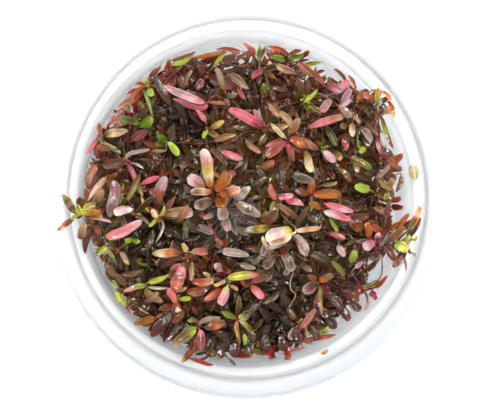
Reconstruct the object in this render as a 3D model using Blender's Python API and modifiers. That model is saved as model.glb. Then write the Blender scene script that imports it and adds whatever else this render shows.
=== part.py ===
# Blood red dwarf rotala plantlets in their tissue culture cup, lid off.
# Frame: metres, +Z up, the cup stands on z = 0 with its axis on the Z axis.
# The cup is one moulded piece; a disc of clear gel fills its foot; every plantlet is one
# piece grown from its own stem, standing in a socket in the gel; two loose bits lie on the ledge.

import math
import random

import bmesh
import bpy
import numpy as np
from mathutils import Vector
from mathutils.bvhtree import BVHTree

MM = 0.001

# ---- cup, all in millimetres ----
RIM_Z = 60.0            # top of the flange
RIM_R = 50.0            # outer radius of the flange
LIP_DROP = 2.6          # how far the outer lip turns down
RISER_TOP_R = 45.4      # inner edge of the flange
RISER_FOOT_R = 44.9     # foot of the riser, on the ledge
LEDGE_Z = 53.0          # height of the lid ledge
WALL_TOP_R = 43.0       # inner radius of the wall at the ledge
WALL_FOOT_R = 35.8      # inner radius of the wall at the floor
FLOOR_Z = 1.2           # inner face of the cup's floor
WALL = 0.9              # thickness of the moulded wall

# ---- gel, in millimetres ----
GEL_TOP = 12.0
GEL_FOOT = 1.5
SOCKET_FLOOR = 7.6      # bottom of the hole each stem stands in
SOCKET_GAP = 0.35

# ---- plantlets, in millimetres ----
STEM_HALF = 0.5         # half width of a square stem
STEM_FOOT = 8.0         # lower end of each stem, inside the gel
STEM_UP = 13.4          # where the stem leaves the gel upright
NODE_HALF = 0.45        # half height of a leaf node
NODE_PITCH = 3.1        # distance between two leaf nodes
LEAF_THICK = 0.5        # thickness of a leaf at its base
LONG_LEAF = 7.5         # a leaf longer than this bends in two places
KEEP_APART = 0.3        # clear gap between two plantlets

# ---- plan grid: one step is STEP mm on the rim plane, u to the right and v to the front ----
STEP = 0.251
MID_U, MID_V = 250.4, 199.6
EYE = (-45.3, 0.0, 457.4)   # the point the plan is drawn from, above and a little left

# Each plantlet: crown u, crown v, crown z, foliage family,
# then its named leaves: (base u, base v, tip u, tip v, width, colour, tip z)
PLANTS = [
    (82, 213, 59.5, "olive", [(75, 212, 63, 194, 9, "olive_grey", 62.5), (74, 218, 59, 230, 6.5, "wine_peach", 62.6), (81, 211, 96, 203, 7, "lime", 62.0), (78, 211, 79, 198, 11, "olive_brown", 61.2), (85, 216, 102, 212, 6, "amber", 61.0)]),
    (91, 224, 53.5, "brown", [(86, 223, 82, 239, 9, "tan_brown", 56.0), (93, 226, 101, 234, 8, "brown", 53.5), (97, 219, 112, 222, 3, "pale_pink", 56.0), (92, 220, 97, 211, 6, "brown", 54.5)]),
    (103, 141, 51.5, "brown", [(103, 138, 98.5, 121, 6, "rust", 55.5), (99, 137, 87, 155, 5, "rust_pink", 55.0), (106, 135, 128, 131, 9.5, "cream_green", 54.5), (108, 144, 122, 154, 6, "pale_olive", 52.5), (101, 146, 96, 159, 11, "brown", 50.5)]),
    (127, 161, 52.5, "wine", [(129, 163, 143, 198, 6.5, "pink", 54.5), (124, 160, 104, 165, 12, "wine", 53.0), (132, 163, 144, 169, 3, "pale_pink", 54.0), (125, 155, 150, 150, 4.5, "grey_mauve", 53.0), (119, 160, 120, 173, 7, "rust", 51.5)]),
    (110, 180, 51.0, "wine", [(106, 178, 88, 201, 11, "beige_pink", 54.5), (109, 177, 118, 173, 5, "rust", 53.5), (113, 184, 110, 218, 13, "wine_brown", 52.5), (101, 172, 89, 190, 10, "dark_rust", 51.5), (124, 185, 119, 205, 5, "lime", 53.5)]),
    (142, 189, 50.5, "brown", [(142, 184, 160, 177, 6.5, "hot_pink", 54.5), (142, 198, 149, 212, 3.5, "cream_yellow", 53.5), (136, 184, 131, 197, 8, "dark", 50.5), (150, 190, 162, 199, 10, "rose_brown", 51.5)]),
    (136, 214, 53.0, "dark", [(132, 209, 114, 212, 10, "pale_pink", 56.0), (135, 208, 160, 212, 6.5, "orange", 55.5), (141, 221, 107, 238, 11, "pink", 55.5), (142, 217, 150, 226, 4, "grey_mauve", 53.5)]),
    (158, 217, 54.5, "brown", [(157, 217, 151, 210, 7, "cream", 57.5), (158, 216, 164, 206, 5, "yellow_lime", 57.5), (156, 218, 149, 227, 4.5, "yellow_lime", 56.5), (162, 215, 193, 212, 13, "tan_pink", 56.0), (163, 229, 157, 240, 2.5, "root", 55.5)]),
    (119, 251, 50.5, "brown", [(107, 247, 97, 254, 8.5, "lime_olive", 52.5), (108, 249, 115, 259, 5, "cream_green", 53.5), (131, 240, 125, 240, 6, "lime", 52.5), (133, 240, 140, 241, 6, "lime", 52.5), (104, 245, 94, 243, 8, "brown", 51.5), (125, 255, 129, 264, 6, "grey_tan", 51.0)]),
    (121, 290, 49.5, "olive", [(119, 286, 112, 280, 6.5, "cream_lime", 52.5), (117, 291, 122, 301, 8, "lime", 51.5), (123, 295, 126, 306, 6, "lime", 52.0), (125, 303, 131, 315, 3, "rust_pink", 52.5), (127, 284, 116, 272, 8, "brown", 50.0)]),
    (147, 286, 52.5, "olive", [(149, 282, 170, 274, 7, "lime", 55.5), (146, 288, 124, 291, 6, "lime_pink", 54.5), (151, 286, 168, 287, 4, "pale_tan", 54.0), (149, 290, 163, 302, 9, "olive_tan", 53.0), (141, 284, 138, 277, 5, "grey_tan", 53.5)]),
    (155, 319, 50.0, "dark", [(153, 317, 134, 322, 8, "amber_olive", 55.0), (158, 314, 170, 312, 7, "salmon_tan", 54.5), (163, 327, 150, 334, 9, "maroon_rust", 49.5), (167, 329, 166, 342, 10, "maroon", 49.5), (172, 322, 181, 333, 9, "maroon", 50.5)]),
    (178, 299, 52.5, "rose", [(176, 302, 167, 288, 8.5, "salmon_pink", 55.5), (180, 299, 191, 298, 5.5, "lime", 55.5), (177, 303, 182, 315, 9, "rust", 53.5), (173, 304, 175, 319, 7, "wine_lilac", 52.5), (172, 305, 158, 309, 8, "salmon_brown", 53.5), (178, 291, 187, 287, 4, "cream", 54.5)]),
    (186, 257, 54.0, "brown", [(183, 266, 175, 290, 14, "salmon", 56.5), (180, 252, 152, 253, 10, "tan_cream", 57.0), (186, 250, 182, 243, 7, "cream", 57.5), (192, 252, 208, 252, 8, "pink", 57.5), (181, 264, 170, 270, 5, "pink", 57.5), (192, 262, 191, 281, 6, "olive_tan", 55.5)]),
    (209, 281, 52.5, "rust", [(213, 280, 191, 281, 9, "orange_rust", 55.5), (210, 287, 186, 292, 11, "brown_rust", 53.0), (214, 277, 203, 272, 5, "cream", 57.0), (221, 270, 214, 264, 9, "pale_pink", 56.0), (222, 270, 231, 272, 8, "brown_rust", 55.0)]),
    (227, 280, 54.5, "rose", [(228, 278, 259, 275, 9.5, "yellow_tan", 57.5), (227, 287, 219, 305, 10, "pale_pink", 57.0), (231, 286, 238, 291, 5, "peach", 57.5), (225, 284, 213, 285, 6, "cream_yellow", 57.5), (222, 289, 204, 300, 9, "rust_salmon", 55.5)]),
    (251, 283, 51.5, "dark", [(252, 286, 264, 299, 9, "salmon_pink", 54.5), (248, 284, 240, 281, 6, "rust", 54.0), (254, 280, 268, 276, 8, "rose_brown", 53.0), (249, 290, 246, 302, 8, "dark", 51.0)]),
    (238, 319, 52.0, "olive", [(236, 319, 221, 311, 7, "green", 54.5), (240, 318, 250, 310, 10, "lime_olive", 55.0), (241, 321, 256, 335, 6, "lime_olive", 54.5), (239, 315, 239, 295, 7, "olive_grey", 53.5), (236, 322, 240, 345, 5, "amber_olive", 53.0)]),
    (199, 326, 52.0, "rose", [(205, 327, 225, 321, 10, "orange_peach", 55.5), (200, 330, 201, 352, 9, "wine_pink", 55.0), (195, 328, 172, 345, 12, "olive_lime", 55.0), (197, 325, 187, 320, 6, "cream_lime", 56.0), (202, 321, 221, 317, 6, "grey", 53.5)]),
    (209, 351, 49.5, "brown", [(192, 351, 179, 363, 10, "rust_tan", 55.3), (191, 358, 214, 365, 5, "crimson", 55.2), (222, 357, 215, 357, 5, "cream_tan", 52.0), (229, 359, 236, 366, 4, "grey_brown", 55.2), (231, 352, 252, 357, 9, "maroon_rust", 53.5)]),
    (259, 343, 49.5, "dark", [(245, 345, 243, 334, 6, "lime", 52.5), (250, 347, 263, 355, 5.5, "lime_olive", 52.5), (271, 349, 272, 360, 9, "crimson_wine", 54.5), (262, 338, 270, 325, 11, "dark", 50.5), (253, 341, 248, 329, 8, "grey_brown", 50.5)]),
    (302, 341, 50.0, "rust", [(288, 347, 286, 361, 9.5, "red_rust", 54.8), (293, 351, 306, 348, 4, "salmon", 54.5), (303, 342, 337, 335, 6, "red_brown", 54.8), (319, 335, 312, 337, 6, "lime", 53.0), (320, 334, 329, 327, 7, "lime", 53.5)]),
    (299, 323, 52.0, "rose", [(302, 328, 315, 309, 8, "salmon", 55.0), (300, 328, 289, 339, 11, "wine_mauve", 54.0), (288, 309, 295, 320, 7, "rose", 54.0), (307, 332, 309, 346, 3.5, "cream_tan", 53.5), (304, 329, 307, 318, 7, "rust", 53.0)]),
    (319, 284, 52.0, "rose", [(317, 284, 303, 292, 13, "dull_rose", 54.5), (321, 281, 334, 275, 8, "orange_olive", 55.5), (316, 280, 308, 276, 6, "rust", 54.5), (319, 287, 315, 306, 4.5, "rust", 53.5), (324, 287, 331, 300, 9, "wine", 52.5)]),
    (366, 292, 50.5, "rust", [(377, 288, 390, 276, 5.5, "rust_red", 54.5), (372, 287, 363, 287, 7, "cream_olive", 53.5), (374, 292, 376, 301, 8.5, "crimson", 53.5), (369, 301, 366, 312, 4.5, "orange_tan", 53.0), (356, 297, 361, 288, 8, "red_wine", 52.5), (359, 299, 346, 304, 9, "brown", 50.5)]),
    (399, 248, 58.5, "brown", [(411, 249, 397, 244, 11, "lime", 62.6), (413, 227, 424, 206, 9, "cream_orange", 62.6), (410, 239, 424, 217, 8, "olive_brown", 61.8), (409, 251, 395, 268, 9, "maroon", 61.6), (406, 257, 411, 284, 5, "tan_orange", 61.6), (411, 250, 417, 258, 5, "maroon", 62.4), (412, 243, 421, 236, 5, "yellow_lime", 62.8)]),
    (386, 233, 55.5, "brown", [(389, 241, 384, 258, 10, "brown", 56.5), (395, 228, 402, 222, 8, "amber", 57.5), (384, 231, 373, 226, 9, "rust", 56.0), (395, 232, 397, 225, 4, "cream_green", 57.5)]),
    (372, 239, 55.0, "brown", [(376, 243, 364, 247, 11, "pink", 58.0), (378, 242, 380, 233, 7, "pink", 58.0), (378, 248, 384, 258, 8, "salmon_pink", 57.5), (372, 236, 368, 222, 8, "orange", 57.0), (362, 231, 349, 214, 14, "salmon_brown", 56.0)]),
    (323, 209, 54.5, "olive", [(327, 204, 355, 211, 8, "pink", 58.0), (326, 212, 352, 221, 10, "pale_pink", 57.5), (322, 205, 309, 203, 7, "amber", 56.5), (331, 219, 340, 236, 4.5, "lime", 56.0)]),
    (312, 194, 53.0, "rust", [(314, 195, 344, 193, 11, "amber_brown", 55.5), (313, 192, 314, 180, 9, "orange_tan", 55.5), (309, 195, 295, 190, 8, "brown", 54.0), (325, 185, 338, 182, 5, "grey_tan", 54.5)]),
    (277, 201, 54.0, "olive", [(276, 199, 270, 184, 7.5, "salmon", 57.0), (279, 198, 295, 195, 7, "hot_pink", 57.5), (287, 200, 304, 206, 9, "hot_pink", 57.0), (276, 205, 273, 217, 10, "olive_tan", 55.0)]),
    (293, 232, 57.0, "mauve", [(291, 230, 266, 240, 18, "cream_white", 60.5), (297, 231, 323, 228, 6.5, "peach", 60.0), (295, 236, 308, 254, 10, "pale_pink_mauve", 60.0), (287, 241, 266, 250, 8, "lilac_pink", 58.2)]),
    (276, 255, 54.0, "mauve", [(272, 252, 258, 256, 9, "mauve_clear", 56.0), (270, 258, 264, 269, 10, "mauve_clear", 56.0), (284, 252, 293, 272, 12, "mauve_clear", 56.0), (281, 249, 288, 255, 8, "brown_rust", 57.0)]),
    (267, 228, 54.5, "olive", [(269, 227, 246, 230, 9.5, "olive_white", 57.5), (270, 222, 277, 211, 11, "brown", 55.5), (262, 221, 268, 211, 8, "olive_tan", 55.0)]),
    (226, 208, 55.0, "mauve", [(237, 204, 259, 217, 13, "mauve_grey", 58.0), (236, 200, 249, 186, 12, "white_grey", 59.0), (222, 206, 223, 220, 12, "lilac_grey", 58.5), (225, 218, 228, 231, 10, "lilac", 56.8), (214, 213, 203, 219, 7, "lilac", 57.2), (212, 202, 194, 206, 13, "mauve_brown", 56.8)]),
    (213, 188, 57.5, "orange", [(210, 187, 205, 149, 13, "cream_yellow_white", 61.0), (218, 188, 229, 170, 14, "amber_orange", 60.0), (220, 194, 239, 187, 13, "peach_rim", 60.2), (204, 189, 188, 176, 13, "pale_mauve_pink", 60.4), (210, 192, 190, 191, 9, "peach_brown", 58.8), (218, 198, 224, 208, 12, "amber_orange", 59.6)]),
    (288, 142, 54.0, "rose", [(285, 143, 266, 157, 11, "rose_rust", 56.5), (290, 143, 292, 162, 10, "rose_brown", 56.5), (291, 138, 308, 147, 10, "orange", 57.5), (285, 137, 271, 123, 5, "cream", 57.5), (290, 133, 299, 117, 10, "tan", 56.0), (282, 139, 265, 146, 7, "salmon_pink", 58.0)]),
    (324, 149, 52.5, "olive", [(307, 151, 311, 172, 9.5, "tan_white", 56.0), (336, 161, 324, 151, 9, "pale_pink", 56.5), (346, 136, 347, 150, 8, "dusty_rose", 54.5), (312, 148, 321, 141, 8, "brown_rust", 54.5), (334, 151, 342, 160, 8, "olive_tan", 54.5)]),
    (354, 125, 53.5, "brown", [(345, 116, 308, 128, 9, "pink", 57.5), (354, 123, 354, 136, 7, "grey_cream", 56.5), (350, 121, 341, 126, 9, "peach_tan", 56.5), (362, 148, 367, 152, 8, "lime", 54.5), (361, 147, 358, 140, 5, "lime", 54.5), (358, 160, 359, 173, 6.5, "grey_cream", 55.0)]),
    (384, 162, 53.5, "brown", [(388, 157, 378, 138, 10, "wine_rose", 56.5), (385, 159, 398, 156, 7, "salmon_pink", 57.5), (388, 165, 405, 154, 9, "rust", 57.0), (390, 169, 405, 169, 9, "amber_brown", 56.0), (380, 177, 393, 162, 5, "grey_mauve", 58.0)]),
    (379, 194, 53.0, "olive", [(371, 190, 356, 187, 9.5, "lime", 55.5), (388, 199, 389, 193, 7, "lime", 55.5), (393, 201, 404, 197, 6, "rust", 55.0), (394, 207, 406, 207, 8, "wine_rust", 54.5), (389, 190, 396, 178, 8, "olive_tan", 55.5)]),
    (148, 89, 50.0, "olive", [(148, 87, 145, 80, 6, "lime", 54.0), (149, 90, 153, 97, 8, "lime", 53.0), (149, 80, 156, 69, 4.5, "rust", 55.0), (144, 86, 135, 85, 5, "orange", 55.0), (137, 90, 127, 96, 4, "crimson", 55.0), (157, 92, 168, 98, 9, "maroon", 50.5)]),
    (136, 118, 50.0, "olive", [(139, 124, 111, 118, 8.5, "grey_green", 54.5), (141, 127, 153, 120, 12, "bright_green", 55.0), (132, 112, 127, 103, 8, "pale_grey_green", 54.5), (142, 115, 138, 103, 9, "olive", 53.5), (120, 116, 113, 110, 4, "brown", 55.0)]),
    (175, 73, 49.5, "dark", [(168, 71, 170, 60, 7, "rust", 55.0), (190, 58, 172, 66, 6, "lime", 55.0), (173, 77, 166, 87, 12, "maroon", 51.5), (181, 76, 185, 88, 11, "maroon", 51.5)]),
    (208, 76, 50.0, "wine", [(203, 74, 197, 66, 9, "purple", 52.5), (211, 75, 217, 85, 10, "purple", 52.5), (195, 58, 230, 51, 5, "amber_brown", 54.8), (215, 65, 226, 52, 5, "lime", 54.8), (203, 80, 196, 90, 9, "maroon", 51.5)]),
    (207, 103, 54.0, "brown", [(204, 103, 163, 86, 9.5, "pale_pink", 57.5), (206, 107, 172, 100, 6, "rose", 56.0), (205, 98, 184, 91, 5, "brown", 55.5), (210, 104, 230, 103, 4.5, "amber_brown", 56.0)]),
    (208, 129, 52.5, "olive", [(205, 121, 196, 110, 6, "pink", 56.0), (207, 131, 202, 138, 6, "lime", 55.5), (211, 128, 224, 121, 7, "olive_yellow", 55.5), (213, 132, 222, 140, 7, "olive_tan", 54.5)]),
    (168, 143, 51.0, "olive", [(166, 141, 157, 133, 8, "green", 54.0), (168, 143, 178, 156, 8, "lime", 54.5), (164, 142, 155, 145, 8, "green", 53.5), (165, 151, 151, 151, 4, "grey_olive", 53.0), (169, 136, 172, 127, 8, "dark", 51.5)]),
    (264, 127, 53.5, "brown", [(263, 127, 228, 109, 12, "hot_pink", 57.0), (266, 126, 253, 110, 9, "pale_pink", 58.5), (266, 134, 259, 146, 8, "brown", 54.5), (262, 168, 275, 161, 9, "olive_salmon", 55.0)]),
    (261, 68, 49.5, "brown", [(254, 56, 241, 42, 6.5, "crimson_pink", 55.0), (255, 59, 250, 45, 5.5, "lime", 55.2), (258, 58, 260, 45, 5, "green", 54.8), (261, 57, 267, 43, 6, "pale_green", 55.4), (262, 70, 251, 79, 7, "magenta", 55.0), (265, 92, 264, 83, 7, "green", 54.0)]),
    (288, 62, 49.5, "olive", [(287, 52, 268, 46, 6.5, "red_orange", 55.0), (290, 54, 302, 50, 5.5, "amber_brown", 55.4), (291, 58, 304, 54, 7, "green", 54.4), (284, 60, 270, 58, 7, "green", 53.6), (302, 58, 310, 50, 5.5, "red_brown", 55.2), (303, 64, 325, 61, 5, "lime", 54.8), (286, 67, 279, 73, 5.5, "tan", 52.5)]),
    (305, 98, 52.0, "olive", [(306, 101, 318, 89, 5, "lime", 56.0), (307, 102, 321, 109, 5, "lime", 56.0), (303, 91, 297, 79, 8, "olive", 54.5), (306, 90, 309, 79, 7, "olive", 54.0), (322, 111, 332, 99, 9, "pink_mauve", 55.5)]),
    (355, 99, 52.5, "wine", [(345, 96, 327, 80, 12, "wine", 55.0), (351, 97, 336, 84, 9, "lilac_pink", 57.0), (352, 99, 341, 105, 7, "pale_pink", 56.0), (346, 79, 335, 68, 5, "brown", 55.2), (356, 84, 349, 75, 5, "orange", 55.2), (364, 100, 367, 88, 10, "brown", 54.5), (366, 105, 371, 114, 9, "brown", 53.0)]),
    (378, 108, 52.5, "rust", [(375, 102, 379, 92, 6.5, "orange", 55.2), (382, 105, 380, 86, 6.5, "olive_yellow", 56.4), (385, 102, 392, 92, 5.5, "amber_brown", 61.6), (386, 111, 393, 117, 7, "maroon", 55.0), (388, 106, 397, 117, 7.5, "cream", 57.0), (384, 117, 396, 148, 5.5, "olive_rust", 55.6)]),
]


def site(u, v, z):
    """The point at height z that lies on the line from EYE through plan position (u, v) on the rim plane."""
    x = (u - MID_U) * STEP
    y = (MID_V - v) * STEP
    k = (RIM_Z - z) / (EYE[2] - RIM_Z)
    return Vector((x + (x - EYE[0]) * k, y + (y - EYE[1]) * k, z))


def wall_inner(z):
    """Inner radius of the tapering wall at height z."""
    return WALL_FOOT_R + (z - FLOOR_Z) * (WALL_TOP_R - WALL_FOOT_R) / (LEDGE_Z - FLOOR_Z)


def clear_of_cup(points):
    """True if every point keeps its distance from the cup."""
    for p in points:
        r = math.hypot(p.x, p.y)
        if p.z < LEDGE_Z + 0.5:
            limit = wall_inner(min(p.z, LEDGE_Z)) - 0.5
        elif p.z < RIM_Z + 0.4:
            limit = RISER_FOOT_R - 0.4
        else:
            limit = RIM_R - 0.4
        if r > limit or p.z < GEL_TOP + 0.5:
            return False
    return True


def bezier(p0, p1, p2, p3, t):
    a = 1.0 - t
    return p0 * (a * a * a) + p1 * (3 * a * a * t) + p2 * (3 * a * t * t) + p3 * (t * t * t)


class Leaf:
    """One leaf blade on a centre line, with a stalk first when it starts away from the stem."""

    def __init__(self, root, out, base, tip, width, colour, arch, roll, sweep=0.0):
        self.root, self.out, self.tip, self.width, self.colour = root, out, tip, width, colour
        self.roll = roll
        self.stalk = base is not None and (base - root).length > 1.6
        self.base = base if self.stalk else root
        up = Vector((0, 0, 1))
        span = tip - self.base
        self.length = span.length
        flat = Vector((span.x, span.y, 0))
        flat = flat.normalized() if flat.length > 1e-6 else out.copy()
        side = Vector((-flat.y, flat.x, 0))
        lead = flat if self.stalk else (out * 0.6 + flat * 0.4).normalized()
        self.p1 = self.base + lead * (0.32 * self.length) + up * (arch * self.length) + side * (sweep * self.length)
        self.p2 = tip - flat * (0.34 * self.length) + up * (arch * 0.9 * self.length) + side * (sweep * self.length)
        if self.stalk:
            gap = (self.base - root).length
            self.q1 = root + out * (0.4 * gap)
            self.q2 = self.base - (self.p1 - self.base).normalized() * (0.35 * gap)

    def centre(self, t):
        """t from -1 to 0 along the stalk, 0 to 1 along the blade."""
        if t < 0:
            return bezier(self.root, self.q1, self.q2, self.base, 1.0 + t)
        return bezier(self.base, self.p1, self.p2, self.tip, t)

    def frame(self, t):
        """Side and normal of the blade at t."""
        e = 0.02
        lo = -1.0 if self.stalk else 0.0
        ahead = self.centre(min(1.0, t + e)) - self.centre(max(lo, t - e))
        ahead.normalize()
        side = Vector((-ahead.y, ahead.x, 0))
        if side.length < 1e-5:
            side = Vector((-self.out.y, self.out.x, 0))
        side.normalize()
        normal = ahead.cross(side)
        turn = self.roll * max(0.0, min(1.0, (t + 0.1) * 3))
        c, s = math.cos(turn), math.sin(turn)
        return ahead, side * c + normal * s, normal * c - side * s

    def ring(self, t, half_width, half_thick):
        """Four corners round the centre line: right under, left under, left over, right over."""
        mid = self.centre(t)
        _, side, normal = self.frame(t)
        return [
            mid - side * half_width - normal * half_thick,
            mid + side * half_width - normal * half_thick,
            mid + side * half_width + normal * half_thick,
            mid - side * half_width + normal * half_thick,
        ]

    def stations(self):
        """(t, half width, half thickness) of each ring of the simple blade, without the tip."""
        half = self.width / 2
        rows = []
        if self.stalk:
            rows.append((0.0, 0.42, 0.3))
        if self.length > LONG_LEAF:
            rows += [(0.36, half, LEAF_THICK / 2), (0.76, half * 0.72, LEAF_THICK / 2 - 0.03)]
        else:
            rows += [(0.5, half, LEAF_THICK / 2)]
        return rows

    def hull(self, grow, start):
        """A closed envelope of the leaf, grown by `grow`, from t = start on, as vertices and faces."""
        rows = [(t, w + grow, h + grow) for t, w, h in self.stations() if t > start + 0.05]
        first_half = 0.42 if start <= 0.0 else self.width * 0.4
        rows.insert(0, (start, first_half + grow, 0.32 + grow))
        verts = []
        for t, w, h in rows:
            verts += self.ring(t, w, h)
        faces = [(3, 2, 1, 0)]
        for i in range(len(rows) - 1):
            for j in range(4):
                k = (j + 1) % 4
                faces.append((4 * i + j, 4 * i + k, 4 * i + 4 + k, 4 * i + 4 + j))
        last = 4 * (len(rows) - 1)
        ahead = self.frame(1.0)[0]
        verts.append(self.tip + ahead * grow)
        for j in range(4):
            faces.append((last + j, last + (j + 1) % 4, len(verts) - 1))
        return verts, faces


class Crowd:
    """Everything placed so far, to keep each new leaf clear of it."""

    def __init__(self):
        self.items = []
        self.low = []
        self.high = []

    def add(self, owner, verts, faces, near=None):
        self.items.append((owner, BVHTree.FromPolygons(verts, faces), near))
        self.low.append([min(p[i] for p in verts) for i in range(3)])
        self.high.append([max(p[i] for p in verts) for i in range(3)])
        self.boxes = None

    def close_ones(self, verts):
        if self.boxes is None:
            self.boxes = (np.array(self.low), np.array(self.high))
        low = np.array([min(p[i] for p in verts) for i in range(3)])
        high = np.array([max(p[i] for p in verts) for i in range(3)])
        hit = ((self.boxes[0] <= high) & (self.boxes[1] >= low)).all(axis=1)
        return [self.items[i] for i in np.nonzero(hit)[0]]


class Plantlet:
    """A stem with leaf nodes from the crown down."""

    def __init__(self, index, row):
        u, v, z, self.family, self.named = row
        self.index = index
        self.name = "plantlet_%02d" % (index + 1)
        self.crown = site(u, v, z)
        reach = math.hypot(self.crown.x, self.crown.y)
        pull = min(0.8, 33.0 / max(reach, 1.0))
        self.foot = Vector((self.crown.x * pull, self.crown.y * pull, STEM_FOOT))
        self.nodes = []      # (z, turn of the ring, {face: leaf})

    def axis(self, z):
        """Centre of the stem at height z."""
        s = max(0.0, min(1.0, (z - STEM_UP) / (self.crown.z - STEM_UP)))
        k = s ** 1.35
        return Vector((self.foot.x + (self.crown.x - self.foot.x) * k, self.foot.y + (self.crown.y - self.foot.y) * k, z))

    def face_root(self, z, turn, face):
        a = turn + face * math.pi / 2
        out = Vector((math.cos(a), math.sin(a), 0))
        return self.axis(z) + out * STEM_HALF, out

    def stem_rings(self):
        """(z, half width, turn) of every ring of the stem, bottom to top."""
        nodes = sorted(self.nodes, key=lambda n: n[0])
        rings = [(STEM_FOOT, STEM_HALF, nodes[0][1]), (STEM_UP - 0.9, STEM_HALF, nodes[0][1])]
        for z, turn, _ in nodes:
            rings += [(z - NODE_HALF, STEM_HALF, turn), (z + NODE_HALF, STEM_HALF, turn)]
        return rings

    def corners(self, z, half, turn):
        mid = self.axis(z)
        r = half * math.sqrt(2)
        return [mid + Vector((math.cos(turn + (k - 0.5) * math.pi / 2) * r, math.sin(turn + (k - 0.5) * math.pi / 2) * r, 0)) for k in range(4)]

    def apex(self):
        return self.axis(self.crown.z) + Vector((0, 0, NODE_HALF + 0.8))

    def stem_hull(self, grow):
        """The stem as a closed envelope grown by `grow`."""
        verts, faces = [], [(3, 2, 1, 0)]
        heights = [STEM_FOOT, STEM_UP]
        while heights[-1] + 6 < self.crown.z:
            heights.append(heights[-1] + 6)
        heights.append(self.crown.z + NODE_HALF)
        for z in heights:
            verts += self.corners(z, STEM_HALF + grow + 0.08, 0.4)
        for i in range(len(heights) - 1):
            for j in range(4):
                k = (j + 1) % 4
                faces.append((4 * i + j, 4 * i + k, 4 * i + 4 + k, 4 * i + 4 + j))
        last = 4 * (len(heights) - 1)
        verts.append(self.apex() + Vector((0, 0, grow)))
        for j in range(4):
            faces.append((last + j, last + (j + 1) % 4, len(verts) - 1))
        return verts, faces


def sort_faces(plant):
    """Shares the named leaves out over the stem's nodes, each on the side it leaves from."""
    left = list(plant.named)
    top = plant.crown.z
    turn = 0.0
    level = 0
    while left or level < 2:
        z = top - level * NODE_PITCH
        taken = {}
        if left:
            bearings = []
            for row in left:
                aim = site(row[0], row[1], row[6])
                if (aim - plant.crown).xy.length < 1.0:
                    aim = site(row[2], row[3], row[6])
                d = aim - plant.crown
                bearings.append(math.atan2(d.y, d.x))
            fit = bearings[0]
            turn += (fit - turn + math.pi / 4) % (math.pi / 2) - math.pi / 4
            rest = []
            for row, bearing in zip(left, bearings):
                face = round((bearing - turn) / (math.pi / 2)) % 4
                miss = abs((bearing - turn - face * math.pi / 2 + math.pi) % (2 * math.pi) - math.pi)
                if face in taken or miss > math.radians(44):
                    rest.append(row)
                else:
                    taken[face] = row
            left = rest
        else:
            turn += math.pi / 4
        plant.nodes.append([z, turn, taken])
        level += 1


def along_edges(verts):
    """The corners of an envelope past its root, and points on its long edges between them."""
    points = []
    for i in range(4, len(verts)):
        behind = verts[i - 4:i] if i == len(verts) - 1 else verts[i - 4:i - 3]
        points.append(verts[i])
        for other in behind:
            points += [other.lerp(verts[i], k) for k in (0.2, 0.4, 0.6, 0.8)]
    return points


def hits(crowd, owner, leaf, grow):
    """True if the leaf comes too near anything placed, other than the stem it grows from."""
    verts, faces = leaf.hull(grow, -1.0 if leaf.stalk else 0.0)
    if not clear_of_cup(along_edges(verts)):
        return True
    near = crowd.close_ones(verts)
    if not near:
        return False
    tree = BVHTree.FromPolygons(verts, faces)
    trimmed = None
    for who, other, part in near:
        if who != owner:
            if tree.overlap(other):
                return True
            continue
        if trimmed is None:
            begin = (-1.0 + 1.7 / max((leaf.base - leaf.root).length, 1.8)) if leaf.stalk else min(0.5, 1.7 / leaf.length)
            a, b = leaf.hull(grow * 0.5, begin)
            trimmed = BVHTree.FromPolygons(a, b)
        if trimmed.overlap(other) or (part is not None and tree.overlap(part)):
            return True
    return False


def place(crowd, plant, leaf):
    verts, faces = leaf.hull(0.0, -1.0 if leaf.stalk else 0.0)
    begin = (-1.0 + 1.7 / max((leaf.base - leaf.root).length, 1.8)) if leaf.stalk else min(0.5, 1.7 / leaf.length)
    a, b = leaf.hull(0.0, begin)
    crowd.add(plant.index, verts, faces, BVHTree.FromPolygons(a, b))


LIFTS = (0.0, 0.5, -0.5, 1.0, -1.0, 1.6, -1.6, 2.2, -2.2, 2.9, -2.9, 3.6, -3.6, 4.3, -4.3)
SHRINKS = ((1.0, 1.0), (0.85, 1.0), (0.85, 0.85), (0.7, 0.7), (0.6, 0.55), (0.6, 0.4))


def named_leaf(plant, z, turn, face, row, lift, thin, short):
    bu, bv, tu, tv, w, colour, tz = row
    root, out = plant.face_root(z, turn, face)
    tu, tv = bu + (tu - bu) * short, bv + (tv - bv) * short
    tip = site(tu, tv, tz + lift)
    base = site(bu, bv, (z + tz) / 2 + 0.2 + lift * 0.8)
    rng = random.Random(int(bu * 31 + tv * 17))
    roll = math.radians(rng.uniform(-16, 16))
    sweep = rng.uniform(-0.06, 0.06)
    return Leaf(root, out, base, tip, w * STEP * thin, colour, 0.10, roll, sweep)


def free_leaf(plant, z, turn, face, length, width, rise, yaw, colour, rng_roll, arch):
    root, out = plant.face_root(z, turn, face)
    a = math.atan2(out.y, out.x) + yaw
    tip = root + Vector((math.cos(a) * math.cos(rise), math.sin(a) * math.cos(rise), math.sin(rise))) * length
    return Leaf(root, out, None, tip, width, colour, arch, rng_roll)


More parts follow.
